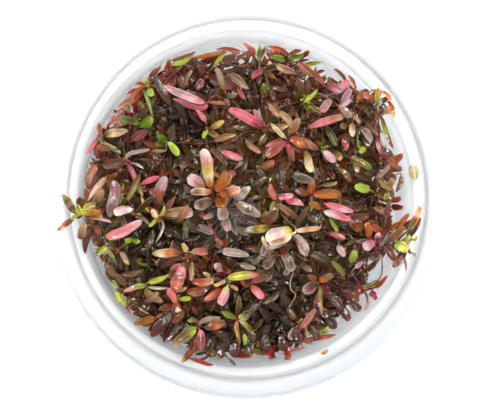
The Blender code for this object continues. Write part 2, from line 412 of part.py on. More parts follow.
def grow_named(plants, crowd):
    """Places every named leaf, moving it up or down its sight line until it is clear."""
    for plant in plants:
        sort_faces(plant)
    for plant in plants:
        crowd.add(plant.index, *plant.stem_hull(0.0))
    missed = []
    order = [(plant, node, face) for plant in plants for node in plant.nodes for face in sorted(node[2])]
    order.sort(key=lambda o: (-o[1][2][o[2]][4] * math.hypot(o[1][2][o[2]][0] - o[1][2][o[2]][2], o[1][2][o[2]][1] - o[1][2][o[2]][3]), o[0].index, o[2]))
    later = []
    for plant, node, face in order:
        row = node[2][face]
        found = seek(plant, node, face, row, crowd)
        if found:
            node[2][face] = found
            place(crowd, plant, found)
        else:
            del node[2][face]
            later.append((plant, row))
    for plant, row in later:
        aim = site(row[0], row[1], row[6]) - plant.crown
        if aim.xy.length < 1.0:
            aim = site(row[2], row[3], row[6]) - plant.crown
        bearing = math.atan2(aim.y, aim.x)
        tries = []
        for level, node in enumerate(plant.nodes):
            for face in range(4):
                if face not in node[2]:
                    miss = abs((bearing - node[1] - face * math.pi / 2 + math.pi) % (2 * math.pi) - math.pi)
                    if miss < math.radians(100):
                        tries.append((miss + 0.2 * level, level, face))
        for _, level, face in sorted(tries):
            node = plant.nodes[level]
            found = seek(plant, node, face, row, crowd)
            if found:
                node[2][face] = found
                place(crowd, plant, found)
                break
        else:
            missed.append((plant.name, row))
    return missed


def seek(plant, node, face, row, crowd):
    """The named leaf at the nearest height, then at the nearest size, where it is clear."""
    for thin, short in SHRINKS:
        for lift in LIFTS:
            leaf = named_leaf(plant, node[0], node[1], face, row, lift, thin, short)
            if leaf.length > 0.9 and not hits(crowd, plant.index, leaf, KEEP_APART):
                leaf.lift, leaf.cut = lift, thin
                return leaf
    return None


def grow_free(plants, crowd, wanted):
    """Adds plain leaves on free faces until each plantlet has `wanted` leaves, where there is room."""
    for plant in plants:
        rng = random.Random(500 + plant.index)
        for node in plant.nodes:
            for step in (0, 2, 1, 3):
                if sum(len(n[2]) for n in plant.nodes) >= wanted:
                    break
                used = sorted(node[2])
                face = ((used[0] + 2) % 4 if used and (used[0] + 2) % 4 not in node[2] else step)
                if face in node[2]:
                    continue
                length, width = rng.uniform(5.5, 8.0), rng.uniform(1.7, 2.5)
                roll = math.radians(rng.uniform(-20, 20))
                for yaw, rise, part in ((0, 5, 1), (25, 5, 1), (-25, 5, 1), (0, 25, 1), (0, -20, 1), (30, 25, 0.8), (-30, 25, 0.8), (0, 45, 0.8), (0, -40, 0.8), (0, 10, 0.6), (35, -25, 0.6), (-35, -25, 0.6)):
                    leaf = free_leaf(plant, node[0], node[1], face, length * part, width, math.radians(rise), math.radians(yaw), plant.family, roll, 0.1)
                    if not hits(crowd, plant.index, leaf, KEEP_APART):
                        node[2][face] = leaf
                        place(crowd, plant, leaf)
                        break


def lay_out():
    """Every plantlet with its named and first plain leaves, and the leaves that found no room."""
    plants = [Plantlet(i, row) for i, row in enumerate(PLANTS)]
    crowd = Crowd()
    missed = grow_named(plants, crowd)
    grow_free(plants, crowd, FEWEST_LEAVES)
    return plants, crowd, missed


FEWEST_LEAVES = 5


CUP_STEPS = 36
GEL_STEPS = 24

# Radius and height of the cup's section, from the middle of its floor up the inside,
# over the ledge, the riser and the flange, and down the outside.
CUP_SECTION = [
    (0.0, FLOOR_Z),
    (34.9, FLOOR_Z),
    (36.0, 2.4),
    (WALL_TOP_R, LEDGE_Z),
    (RISER_FOOT_R, LEDGE_Z),
    (RISER_TOP_R - 0.1, RIM_Z - 0.6),
    (RISER_TOP_R + 0.5, RIM_Z),
    (RIM_R - 0.6, RIM_Z),
    (RIM_R, RIM_Z - 0.6),
    (RIM_R, RIM_Z - LIP_DROP),
    (RIM_R - WALL, RIM_Z - LIP_DROP),
    (RIM_R - WALL, RIM_Z - WALL),
    (RISER_TOP_R + 0.9, RIM_Z - WALL),
    (RISER_FOOT_R + 0.85, LEDGE_Z - WALL),
    (WALL_TOP_R + 0.85, LEDGE_Z - WALL),
    (WALL_FOOT_R + 1.1, 1.7),
    (WALL_FOOT_R - 0.4, 0.0),
    (0.0, 0.0),
]

# The same for the gel, from the middle of its surface out to the raised edge and down its side.
GEL_SECTION = [
    (0.0, GEL_TOP),
    (35.9, GEL_TOP),
    (36.8, GEL_TOP + 0.45),
    (35.45, 2.7),
    (34.5, GEL_FOOT),
    (0.0, GEL_FOOT),
]

FAMILY_COLOURS = {
    "olive": (0.20, 0.19, 0.05),
    "brown": (0.18, 0.08, 0.04),
    "wine": (0.22, 0.05, 0.06),
    "dark": (0.09, 0.05, 0.03),
    "rose": (0.45, 0.16, 0.15),
    "rust": (0.32, 0.12, 0.05),
    "mauve": (0.45, 0.33, 0.33),
    "orange": (0.50, 0.25, 0.10),
}


def clear_scene():
    for obj in list(bpy.data.objects):
        bpy.data.objects.remove(obj, do_unlink=True)


def collection(name):
    made = bpy.data.collections.new(name)
    bpy.context.scene.collection.children.link(made)
    return made


def material(name, colour, roughness, transmission=0.0, ior=1.45):
    mat = bpy.data.materials.new(name)
    mat.use_nodes = True
    shader = mat.node_tree.nodes["Principled BSDF"]
    shader.inputs["Base Color"].default_value = (*colour, 1.0)
    shader.inputs["Roughness"].default_value = roughness
    shader.inputs["Transmission Weight"].default_value = transmission
    shader.inputs["IOR"].default_value = ior
    mat.diffuse_color = (*colour, 1.0)
    return mat


def mesh_object(name, verts, faces, home, mat=None, smooth=False):
    mesh = bpy.data.meshes.new(name)
    mesh.from_pydata([tuple(c * MM for c in p) for p in verts], [], faces)
    mesh.validate()
    mesh.update()
    if smooth:
        mesh.polygons.foreach_set("use_smooth", [True] * len(mesh.polygons))
    obj = bpy.data.objects.new(name, mesh)
    home.objects.link(obj)
    if mat:
        mesh.materials.append(mat)
    return obj


def turned(name, section, steps, home, mat):
    """A section in the XZ plane turned about the Z axis."""
    mesh = bpy.data.meshes.new(name)
    mesh.from_pydata([(r * MM, 0.0, z * MM) for r, z in section], [(i, i + 1) for i in range(len(section) - 1)], [])
    mesh.materials.append(mat)
    obj = bpy.data.objects.new(name, mesh)
    home.objects.link(obj)
    screw = obj.modifiers.new("turn", "SCREW")
    screw.axis = "Z"
    screw.angle = 2 * math.pi
    screw.steps = steps
    screw.render_steps = steps
    screw.use_merge_vertices = True
    screw.merge_threshold = 0.00001
    screw.use_smooth_shade = True
    return obj


def socket_cutter(plants, home):
    """One square pin round the foot of every stem, longer than the socket is deep."""
    verts, faces = [], []
    for plant in plants:
        start = len(verts)
        turn = plant.stem_rings()[0][2]
        for z in (SOCKET_FLOOR, GEL_TOP + 2.0):
            corner = (STEM_HALF + SOCKET_GAP) * math.sqrt(2)
            for k in range(4):
                a = turn + (k - 0.5) * math.pi / 2
                verts.append(Vector((plant.foot.x + math.cos(a) * corner, plant.foot.y + math.sin(a) * corner, z)))
        faces.append(tuple(start + k for k in (3, 2, 1, 0)))
        faces.append(tuple(start + 4 + k for k in range(4)))
        for k in range(4):
            n = (k + 1) % 4
            faces.append((start + k, start + n, start + 4 + n, start + 4 + k))
    cutter = mesh_object("stem_sockets", verts, faces, home)
    cutter.hide_render = True
    cutter.display_type = "WIRE"
    return cutter


def plantlet_mesh(plant):
    """One closed skin: the square stem, with each leaf drawn out of the stem face it grows from."""
    verts, faces = [], [(3, 2, 1, 0)]
    rings = plant.stem_rings()
    for z, half, turn in rings:
        verts += plant.corners(z, half, turn)
    grown = {}
    for z, _, leaves in plant.nodes:
        for row, (ring_z, _, _) in enumerate(rings):
            if abs(ring_z - (z - NODE_HALF)) < 1e-6:
                for face, leaf in leaves.items():
                    grown[(row, face)] = leaf
    for row in range(len(rings) - 1):
        for k in range(4):
            n = (k + 1) % 4
            side = (4 * row + k, 4 * row + n, 4 * row + 4 + n, 4 * row + 4 + k)
            leaf = grown.get((row, k))
            if leaf is None:
                faces.append(side)
                continue
            last = side
            for t, half, thick in leaf.stations():
                start = len(verts)
                verts += leaf.ring(t, half, thick)
                ring = (start, start + 1, start + 2, start + 3)
                for j in range(4):
                    m = (j + 1) % 4
                    faces.append((last[j], last[m], ring[m], ring[j]))
                last = ring
            verts.append(leaf.tip)
            for j in range(4):
                faces.append((last[j], last[(j + 1) % 4], len(verts) - 1))
    top = 4 * (len(rings) - 1)
    verts.append(plant.apex())
    for k in range(4):
        faces.append((top + k, top + (k + 1) % 4, len(verts) - 1))
    return verts, faces


def loose_leaf():
    """A shed leaf on the ledge, leaning on the riser: a flat oval in eight sections."""
    a0 = math.radians(9.4)
    out = Vector((math.cos(a0), math.sin(a0), 0))
    along = Vector((-math.sin(a0), math.cos(a0), 0))
    mid = out * 43.75 + Vector((0, 0, LEDGE_Z + 1.1))
    side = (out * 0.84 + Vector((0, 0, 0.55))).normalized()
    normal = along.cross(side)
    verts, faces = [], []
    widths = (0.45, 0.95, 1.05, 0.75, 0.3)
    for i, half in enumerate(widths):
        y = (i / (len(widths) - 1) - 0.5) * 3.7
        c = mid + along * y - normal * (0.06 * y * y)
        verts += [c - side * half - normal * 0.2, c + side * half - normal * 0.2, c + side * half * 0.9 + normal * 0.2, c - side * half * 0.9 + normal * 0.2]
    faces.append((3, 2, 1, 0))
    for i in range(len(widths) - 1):
        for j in range(4):
            k = (j + 1) % 4
            faces.append((4 * i + j, 4 * i + k, 4 * i + 4 + k, 4 * i + 4 + j))
    last = 4 * (len(widths) - 1)
    faces.append((last, last + 1, last + 2, last + 3))
    return verts, faces


def loose_stem():
    """A crumb of stem on the ledge: a short bent stub with a stump of leaf."""
    a0 = math.radians(-63.0)
    out = Vector((math.cos(a0), math.sin(a0), 0))
    along = Vector((-math.sin(a0), math.cos(a0), 0))
    up = Vector((0, 0, 1))
    verts, faces = [], [(3, 2, 1, 0)]
    path = ((-0.95, 0.0, 0.30), (-0.3, 0.10, 0.45), (0.35, 0.05, 0.38), (0.95, -0.12, 0.16))
    for y, r, half in path:
        c = out * (43.85 + r) + along * y + up * (LEDGE_Z + 0.32 + max(half, 0.3))
        verts += [c - out * half - up * half, c - out * half + up * half, c + out * half + up * half, c + out * half - up * half]
    for i in range(len(path) - 1):
        for j in range(4):
            k = (j + 1) % 4
            faces.append((4 * i + j, 4 * i + k, 4 * i + 4 + k, 4 * i + 4 + j))
    last = 4 * (len(path) - 1)
    faces.append((last, last + 1, last + 2, last + 3))
    return verts, faces


def build():
    clear_scene()
    home = collection("tissue_culture_rotala")
    cutters = collection("cutters")
    cutters.hide_render = True
    plants, _, _ = lay_out()

    clear = material("clear_plastic", (0.93, 0.94, 0.95), 0.28, 0.85, 1.49)
    turned("cup", CUP_SECTION, CUP_STEPS, home, clear)

    gel = turned("nutrient_gel", GEL_SECTION, GEL_STEPS, home, material("gel", (0.90, 0.88, 0.80), 0.12, 0.8, 1.34))
    cut = gel.modifiers.new("sockets", "BOOLEAN")
    cut.operation = "DIFFERENCE"
    cut.solver = "EXACT"
    cut.object = socket_cutter(plants, cutters)

    for plant in plants:
        verts, faces = plantlet_mesh(plant)
        mesh_object(plant.name, verts, faces, home, material(plant.name + "_leaf", FAMILY_COLOURS[plant.family], 0.3))

    mesh_object("loose_leaf_bit", *loose_leaf(), home, material("shed_leaf", (0.80, 0.68, 0.48), 0.4))
    mesh_object("loose_stem_bit", *loose_stem(), home, material("shed_stem", (0.72, 0.40, 0.12), 0.4))


build()
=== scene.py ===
"""Tissue culture cup packed with blood red dwarf rotala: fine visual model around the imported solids."""

import math
import random

import bpy
import numpy as np
from mathutils import Matrix, Vector
from mathutils.bvhtree import BVHTree


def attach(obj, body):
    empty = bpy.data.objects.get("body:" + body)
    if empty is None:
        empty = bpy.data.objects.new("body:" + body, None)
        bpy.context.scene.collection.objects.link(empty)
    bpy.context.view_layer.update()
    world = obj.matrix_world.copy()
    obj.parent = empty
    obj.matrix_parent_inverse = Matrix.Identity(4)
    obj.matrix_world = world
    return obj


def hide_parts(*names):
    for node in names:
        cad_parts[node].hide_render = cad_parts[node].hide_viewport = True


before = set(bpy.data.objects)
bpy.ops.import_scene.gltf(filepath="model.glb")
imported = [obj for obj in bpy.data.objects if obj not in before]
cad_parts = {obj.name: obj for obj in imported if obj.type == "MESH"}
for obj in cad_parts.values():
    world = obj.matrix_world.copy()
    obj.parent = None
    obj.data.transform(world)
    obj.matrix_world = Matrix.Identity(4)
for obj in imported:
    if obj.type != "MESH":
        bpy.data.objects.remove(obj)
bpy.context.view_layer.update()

# ---- layout of the plantlets, the same as in the solids ----
MM = 0.001

# ---- cup, all in millimetres ----
RIM_Z = 60.0            # top of the flange
RIM_R = 50.0            # outer radius of the flange
LIP_DROP = 2.6          # how far the outer lip turns down
RISER_TOP_R = 45.4      # inner edge of the flange
RISER_FOOT_R = 44.9     # foot of the riser, on the ledge
LEDGE_Z = 53.0          # height of the lid ledge
WALL_TOP_R = 43.0       # inner radius of the wall at the ledge
WALL_FOOT_R = 35.8      # inner radius of the wall at the floor
FLOOR_Z = 1.2           # inner face of the cup's floor
WALL = 0.9              # thickness of the moulded wall

# ---- gel, in millimetres ----
GEL_TOP = 12.0
GEL_FOOT = 1.5
SOCKET_FLOOR = 7.6      # bottom of the hole each stem stands in
SOCKET_GAP = 0.35

# ---- plantlets, in millimetres ----
STEM_HALF = 0.5         # half width of a square stem
STEM_FOOT = 8.0         # lower end of each stem, inside the gel
STEM_UP = 13.4          # where the stem leaves the gel upright
NODE_HALF = 0.45        # half height of a leaf node
NODE_PITCH = 3.1        # distance between two leaf nodes
LEAF_THICK = 0.5        # thickness of a leaf at its base
LONG_LEAF = 7.5         # a leaf longer than this bends in two places
KEEP_APART = 0.3        # clear gap between two plantlets

# ---- plan grid: one step is STEP mm on the rim plane, u to the right and v to the front ----
STEP = 0.251
MID_U, MID_V = 250.4, 199.6
EYE = (-45.3, 0.0, 457.4)   # the point the plan is drawn from, above and a little left

# Each plantlet: crown u, crown v, crown z, foliage family,
# then its named leaves: (base u, base v, tip u, tip v, width, colour, tip z)
PLANTS = [
    (82, 213, 59.5, "olive", [(75, 212, 63, 194, 9, "olive_grey", 62.5), (74, 218, 59, 230, 6.5, "wine_peach", 62.6), (81, 211, 96, 203, 7, "lime", 62.0), (78, 211, 79, 198, 11, "olive_brown", 61.2), (85, 216, 102, 212, 6, "amber", 61.0)]),
    (91, 224, 53.5, "brown", [(86, 223, 82, 239, 9, "tan_brown", 56.0), (93, 226, 101, 234, 8, "brown", 53.5), (97, 219, 112, 222, 3, "pale_pink", 56.0), (92, 220, 97, 211, 6, "brown", 54.5)]),
    (103, 141, 51.5, "brown", [(103, 138, 98.5, 121, 6, "rust", 55.5), (99, 137, 87, 155, 5, "rust_pink", 55.0), (106, 135, 128, 131, 9.5, "cream_green", 54.5), (108, 144, 122, 154, 6, "pale_olive", 52.5), (101, 146, 96, 159, 11, "brown", 50.5)]),
    (127, 161, 52.5, "wine", [(129, 163, 143, 198, 6.5, "pink", 54.5), (124, 160, 104, 165, 12, "wine", 53.0), (132, 163, 144, 169, 3, "pale_pink", 54.0), (125, 155, 150, 150, 4.5, "grey_mauve", 53.0), (119, 160, 120, 173, 7, "rust", 51.5)]),
    (110, 180, 51.0, "wine", [(106, 178, 88, 201, 11, "beige_pink", 54.5), (109, 177, 118, 173, 5, "rust", 53.5), (113, 184, 110, 218, 13, "wine_brown", 52.5), (101, 172, 89, 190, 10, "dark_rust", 51.5), (124, 185, 119, 205, 5, "lime", 53.5)]),
    (142, 189, 50.5, "brown", [(142, 184, 160, 177, 6.5, "hot_pink", 54.5), (142, 198, 149, 212, 3.5, "cream_yellow", 53.5), (136, 184, 131, 197, 8, "dark", 50.5), (150, 190, 162, 199, 10, "rose_brown", 51.5)]),
    (136, 214, 53.0, "dark", [(132, 209, 114, 212, 10, "pale_pink", 56.0), (135, 208, 160, 212, 6.5, "orange", 55.5), (141, 221, 107, 238, 11, "pink", 55.5), (142, 217, 150, 226, 4, "grey_mauve", 53.5)]),
    (158, 217, 54.5, "brown", [(157, 217, 151, 210, 7, "cream", 57.5), (158, 216, 164, 206, 5, "yellow_lime", 57.5), (156, 218, 149, 227, 4.5, "yellow_lime", 56.5), (162, 215, 193, 212, 13, "tan_pink", 56.0), (163, 229, 157, 240, 2.5, "root", 55.5)]),
    (119, 251, 50.5, "brown", [(107, 247, 97, 254, 8.5, "lime_olive", 52.5), (108, 249, 115, 259, 5, "cream_green", 53.5), (131, 240, 125, 240, 6, "lime", 52.5), (133, 240, 140, 241, 6, "lime", 52.5), (104, 245, 94, 243, 8, "brown", 51.5), (125, 255, 129, 264, 6, "grey_tan", 51.0)]),
    (121, 290, 49.5, "olive", [(119, 286, 112, 280, 6.5, "cream_lime", 52.5), (117, 291, 122, 301, 8, "lime", 51.5), (123, 295, 126, 306, 6, "lime", 52.0), (125, 303, 131, 315, 3, "rust_pink", 52.5), (127, 284, 116, 272, 8, "brown", 50.0)]),
    (147, 286, 52.5, "olive", [(149, 282, 170, 274, 7, "lime", 55.5), (146, 288, 124, 291, 6, "lime_pink", 54.5), (151, 286, 168, 287, 4, "pale_tan", 54.0), (149, 290, 163, 302, 9, "olive_tan", 53.0), (141, 284, 138, 277, 5, "grey_tan", 53.5)]),
    (155, 319, 50.0, "dark", [(153, 317, 134, 322, 8, "amber_olive", 55.0), (158, 314, 170, 312, 7, "salmon_tan", 54.5), (163, 327, 150, 334, 9, "maroon_rust", 49.5), (167, 329, 166, 342, 10, "maroon", 49.5), (172, 322, 181, 333, 9, "maroon", 50.5)]),
    (178, 299, 52.5, "rose", [(176, 302, 167, 288, 8.5, "salmon_pink", 55.5), (180, 299, 191, 298, 5.5, "lime", 55.5), (177, 303, 182, 315, 9, "rust", 53.5), (173, 304, 175, 319, 7, "wine_lilac", 52.5), (172, 305, 158, 309, 8, "salmon_brown", 53.5), (178, 291, 187, 287, 4, "cream", 54.5)]),
    (186, 257, 54.0, "brown", [(183, 266, 175, 290, 14, "salmon", 56.5), (180, 252, 152, 253, 10, "tan_cream", 57.0), (186, 250, 182, 243, 7, "cream", 57.5), (192, 252, 208, 252, 8, "pink", 57.5), (181, 264, 170, 270, 5, "pink", 57.5), (192, 262, 191, 281, 6, "olive_tan", 55.5)]),
    (209, 281, 52.5, "rust", [(213, 280, 191, 281, 9, "orange_rust", 55.5), (210, 287, 186, 292, 11, "brown_rust", 53.0), (214, 277, 203, 272, 5, "cream", 57.0), (221, 270, 214, 264, 9, "pale_pink", 56.0), (222, 270, 231, 272, 8, "brown_rust", 55.0)]),
    (227, 280, 54.5, "rose", [(228, 278, 259, 275, 9.5, "yellow_tan", 57.5), (227, 287, 219, 305, 10, "pale_pink", 57.0), (231, 286, 238, 291, 5, "peach", 57.5), (225, 284, 213, 285, 6, "cream_yellow", 57.5), (222, 289, 204, 300, 9, "rust_salmon", 55.5)]),
    (251, 283, 51.5, "dark", [(252, 286, 264, 299, 9, "salmon_pink", 54.5), (248, 284, 240, 281, 6, "rust", 54.0), (254, 280, 268, 276, 8, "rose_brown", 53.0), (249, 290, 246, 302, 8, "dark", 51.0)]),
    (238, 319, 52.0, "olive", [(236, 319, 221, 311, 7, "green", 54.5), (240, 318, 250, 310, 10, "lime_olive", 55.0), (241, 321, 256, 335, 6, "lime_olive", 54.5), (239, 315, 239, 295, 7, "olive_grey", 53.5), (236, 322, 240, 345, 5, "amber_olive", 53.0)]),
    (199, 326, 52.0, "rose", [(205, 327, 225, 321, 10, "orange_peach", 55.5), (200, 330, 201, 352, 9, "wine_pink", 55.0), (195, 328, 172, 345, 12, "olive_lime", 55.0), (197, 325, 187, 320, 6, "cream_lime", 56.0), (202, 321, 221, 317, 6, "grey", 53.5)]),
    (209, 351, 49.5, "brown", [(192, 351, 179, 363, 10, "rust_tan", 55.3), (191, 358, 214, 365, 5, "crimson", 55.2), (222, 357, 215, 357, 5, "cream_tan", 52.0), (229, 359, 236, 366, 4, "grey_brown", 55.2), (231, 352, 252, 357, 9, "maroon_rust", 53.5)]),
    (259, 343, 49.5, "dark", [(245, 345, 243, 334, 6, "lime", 52.5), (250, 347, 263, 355, 5.5, "lime_olive", 52.5), (271, 349, 272, 360, 9, "crimson_wine", 54.5), (262, 338, 270, 325, 11, "dark", 50.5), (253, 341, 248, 329, 8, "grey_brown", 50.5)]),
    (302, 341, 50.0, "rust", [(288, 347, 286, 361, 9.5, "red_rust", 54.8), (293, 351, 306, 348, 4, "salmon", 54.5), (303, 342, 337, 335, 6, "red_brown", 54.8), (319, 335, 312, 337, 6, "lime", 53.0), (320, 334, 329, 327, 7, "lime", 53.5)]),
    (299, 323, 52.0, "rose", [(302, 328, 315, 309, 8, "salmon", 55.0), (300, 328, 289, 339, 11, "wine_mauve", 54.0), (288, 309, 295, 320, 7, "rose", 54.0), (307, 332, 309, 346, 3.5, "cream_tan", 53.5), (304, 329, 307, 318, 7, "rust", 53.0)]),
    (319, 284, 52.0, "rose", [(317, 284, 303, 292, 13, "dull_rose", 54.5), (321, 281, 334, 275, 8, "orange_olive", 55.5), (316, 280, 308, 276, 6, "rust", 54.5), (319, 287, 315, 306, 4.5, "rust", 53.5), (324, 287, 331, 300, 9, "wine", 52.5)]),
    (366, 292, 50.5, "rust", [(377, 288, 390, 276, 5.5, "rust_red", 54.5), (372, 287, 363, 287, 7, "cream_olive", 53.5), (374, 292, 376, 301, 8.5, "crimson", 53.5), (369, 301, 366, 312, 4.5, "orange_tan", 53.0), (356, 297, 361, 288, 8, "red_wine", 52.5), (359, 299, 346, 304, 9, "brown", 50.5)]),
    (399, 248, 58.5, "brown", [(411, 249, 397, 244, 11, "lime", 62.6), (413, 227, 424, 206, 9, "cream_orange", 62.6), (410, 239, 424, 217, 8, "olive_brown", 61.8), (409, 251, 395, 268, 9, "maroon", 61.6), (406, 257, 411, 284, 5, "tan_orange", 61.6), (411, 250, 417, 258, 5, "maroon", 62.4), (412, 243, 421, 236, 5, "yellow_lime", 62.8)]),
    (386, 233, 55.5, "brown", [(389, 241, 384, 258, 10, "brown", 56.5), (395, 228, 402, 222, 8, "amber", 57.5), (384, 231, 373, 226, 9, "rust", 56.0), (395, 232, 397, 225, 4, "cream_green", 57.5)]),
    (372, 239, 55.0, "brown", [(376, 243, 364, 247, 11, "pink", 58.0), (378, 242, 380, 233, 7, "pink", 58.0), (378, 248, 384, 258, 8, "salmon_pink", 57.5), (372, 236, 368, 222, 8, "orange", 57.0), (362, 231, 349, 214, 14, "salmon_brown", 56.0)]),
    (323, 209, 54.5, "olive", [(327, 204, 355, 211, 8, "pink", 58.0), (326, 212, 352, 221, 10, "pale_pink", 57.5), (322, 205, 309, 203, 7, "amber", 56.5), (331, 219, 340, 236, 4.5, "lime", 56.0)]),
    (312, 194, 53.0, "rust", [(314, 195, 344, 193, 11, "amber_brown", 55.5), (313, 192, 314, 180, 9, "orange_tan", 55.5), (309, 195, 295, 190, 8, "brown", 54.0), (325, 185, 338, 182, 5, "grey_tan", 54.5)]),
    (277, 201, 54.0, "olive", [(276, 199, 270, 184, 7.5, "salmon", 57.0), (279, 198, 295, 195, 7, "hot_pink", 57.5), (287, 200, 304, 206, 9, "hot_pink", 57.0), (276, 205, 273, 217, 10, "olive_tan", 55.0)]),
    (293, 232, 57.0, "mauve", [(291, 230, 266, 240, 18, "cream_white", 60.5), (297, 231, 323, 228, 6.5, "peach", 60.0), (295, 236, 308, 254, 10, "pale_pink_mauve", 60.0), (287, 241, 266, 250, 8, "lilac_pink", 58.2)]),
    (276, 255, 54.0, "mauve", [(272, 252, 258, 256, 9, "mauve_clear", 56.0), (270, 258, 264, 269, 10, "mauve_clear", 56.0), (284, 252, 293, 272, 12, "mauve_clear", 56.0), (281, 249, 288, 255, 8, "brown_rust", 57.0)]),
    (267, 228, 54.5, "olive", [(269, 227, 246, 230, 9.5, "olive_white", 57.5), (270, 222, 277, 211, 11, "brown", 55.5), (262, 221, 268, 211, 8, "olive_tan", 55.0)]),
    (226, 208, 55.0, "mauve", [(237, 204, 259, 217, 13, "mauve_grey", 58.0), (236, 200, 249, 186, 12, "white_grey", 59.0), (222, 206, 223, 220, 12, "lilac_grey", 58.5), (225, 218, 228, 231, 10, "lilac", 56.8), (214, 213, 203, 219, 7, "lilac", 57.2), (212, 202, 194, 206, 13, "mauve_brown", 56.8)]),
    (213, 188, 57.5, "orange", [(210, 187, 205, 149, 13, "cream_yellow_white", 61.0), (218, 188, 229, 170, 14, "amber_orange", 60.0), (220, 194, 239, 187, 13, "peach_rim", 60.2), (204, 189, 188, 176, 13, "pale_mauve_pink", 60.4), (210, 192, 190, 191, 9, "peach_brown", 58.8), (218, 198, 224, 208, 12, "amber_orange", 59.6)]),
    (288, 142, 54.0, "rose", [(285, 143, 266, 157, 11, "rose_rust", 56.5), (290, 143, 292, 162, 10, "rose_brown", 56.5), (291, 138, 308, 147, 10, "orange", 57.5), (285, 137, 271, 123, 5, "cream", 57.5), (290, 133, 299, 117, 10, "tan", 56.0), (282, 139, 265, 146, 7, "salmon_pink", 58.0)]),
    (324, 149, 52.5, "olive", [(307, 151, 311, 172, 9.5, "tan_white", 56.0), (336, 161, 324, 151, 9, "pale_pink", 56.5), (346, 136, 347, 150, 8, "dusty_rose", 54.5), (312, 148, 321, 141, 8, "brown_rust", 54.5), (334, 151, 342, 160, 8, "olive_tan", 54.5)]),
    (354, 125, 53.5, "brown", [(345, 116, 308, 128, 9, "pink", 57.5), (354, 123, 354, 136, 7, "grey_cream", 56.5), (350, 121, 341, 126, 9, "peach_tan", 56.5), (362, 148, 367, 152, 8, "lime", 54.5), (361, 147, 358, 140, 5, "lime", 54.5), (358, 160, 359, 173, 6.5, "grey_cream", 55.0)]),
    (384, 162, 53.5, "brown", [(388, 157, 378, 138, 10, "wine_rose", 56.5), (385, 159, 398, 156, 7, "salmon_pink", 57.5), (388, 165, 405, 154, 9, "rust", 57.0), (390, 169, 405, 169, 9, "amber_brown", 56.0), (380, 177, 393, 162, 5, "grey_mauve", 58.0)]),
    (379, 194, 53.0, "olive", [(371, 190, 356, 187, 9.5, "lime", 55.5), (388, 199, 389, 193, 7, "lime", 55.5), (393, 201, 404, 197, 6, "rust", 55.0), (394, 207, 406, 207, 8, "wine_rust", 54.5), (389, 190, 396, 178, 8, "olive_tan", 55.5)]),
    (148, 89, 50.0, "olive", [(148, 87, 145, 80, 6, "lime", 54.0), (149, 90, 153, 97, 8, "lime", 53.0), (149, 80, 156, 69, 4.5, "rust", 55.0), (144, 86, 135, 85, 5, "orange", 55.0), (137, 90, 127, 96, 4, "crimson", 55.0), (157, 92, 168, 98, 9, "maroon", 50.5)]),
    (136, 118, 50.0, "olive", [(139, 124, 111, 118, 8.5, "grey_green", 54.5), (141, 127, 153, 120, 12, "bright_green", 55.0), (132, 112, 127, 103, 8, "pale_grey_green", 54.5), (142, 115, 138, 103, 9, "olive", 53.5), (120, 116, 113, 110, 4, "brown", 55.0)]),
    (175, 73, 49.5, "dark", [(168, 71, 170, 60, 7, "rust", 55.0), (190, 58, 172, 66, 6, "lime", 55.0), (173, 77, 166, 87, 12, "maroon", 51.5), (181, 76, 185, 88, 11, "maroon", 51.5)]),
    (208, 76, 50.0, "wine", [(203, 74, 197, 66, 9, "purple", 52.5), (211, 75, 217, 85, 10, "purple", 52.5), (195, 58, 230, 51, 5, "amber_brown", 54.8), (215, 65, 226, 52, 5, "lime", 54.8), (203, 80, 196, 90, 9, "maroon", 51.5)]),
    (207, 103, 54.0, "brown", [(204, 103, 163, 86, 9.5, "pale_pink", 57.5), (206, 107, 172, 100, 6, "rose", 56.0), (205, 98, 184, 91, 5, "brown", 55.5), (210, 104, 230, 103, 4.5, "amber_brown", 56.0)]),
    (208, 129, 52.5, "olive", [(205, 121, 196, 110, 6, "pink", 56.0), (207, 131, 202, 138, 6, "lime", 55.5), (211, 128, 224, 121, 7, "olive_yellow", 55.5), (213, 132, 222, 140, 7, "olive_tan", 54.5)]),
    (168, 143, 51.0, "olive", [(166, 141, 157, 133, 8, "green", 54.0), (168, 143, 178, 156, 8, "lime", 54.5), (164, 142, 155, 145, 8, "green", 53.5), (165, 151, 151, 151, 4, "grey_olive", 53.0), (169, 136, 172, 127, 8, "dark", 51.5)]),
    (264, 127, 53.5, "brown", [(263, 127, 228, 109, 12, "hot_pink", 57.0), (266, 126, 253, 110, 9, "pale_pink", 58.5), (266, 134, 259, 146, 8, "brown", 54.5), (262, 168, 275, 161, 9, "olive_salmon", 55.0)]),
    (261, 68, 49.5, "brown", [(254, 56, 241, 42, 6.5, "crimson_pink", 55.0), (255, 59, 250, 45, 5.5, "lime", 55.2), (258, 58, 260, 45, 5, "green", 54.8), (261, 57, 267, 43, 6, "pale_green", 55.4), (262, 70, 251, 79, 7, "magenta", 55.0), (265, 92, 264, 83, 7, "green", 54.0)]),
    (288, 62, 49.5, "olive", [(287, 52, 268, 46, 6.5, "red_orange", 55.0), (290, 54, 302, 50, 5.5, "amber_brown", 55.4), (291, 58, 304, 54, 7, "green", 54.4), (284, 60, 270, 58, 7, "green", 53.6), (302, 58, 310, 50, 5.5, "red_brown", 55.2), (303, 64, 325, 61, 5, "lime", 54.8), (286, 67, 279, 73, 5.5, "tan", 52.5)]),
    (305, 98, 52.0, "olive", [(306, 101, 318, 89, 5, "lime", 56.0), (307, 102, 321, 109, 5, "lime", 56.0), (303, 91, 297, 79, 8, "olive", 54.5), (306, 90, 309, 79, 7, "olive", 54.0), (322, 111, 332, 99, 9, "pink_mauve", 55.5)]),
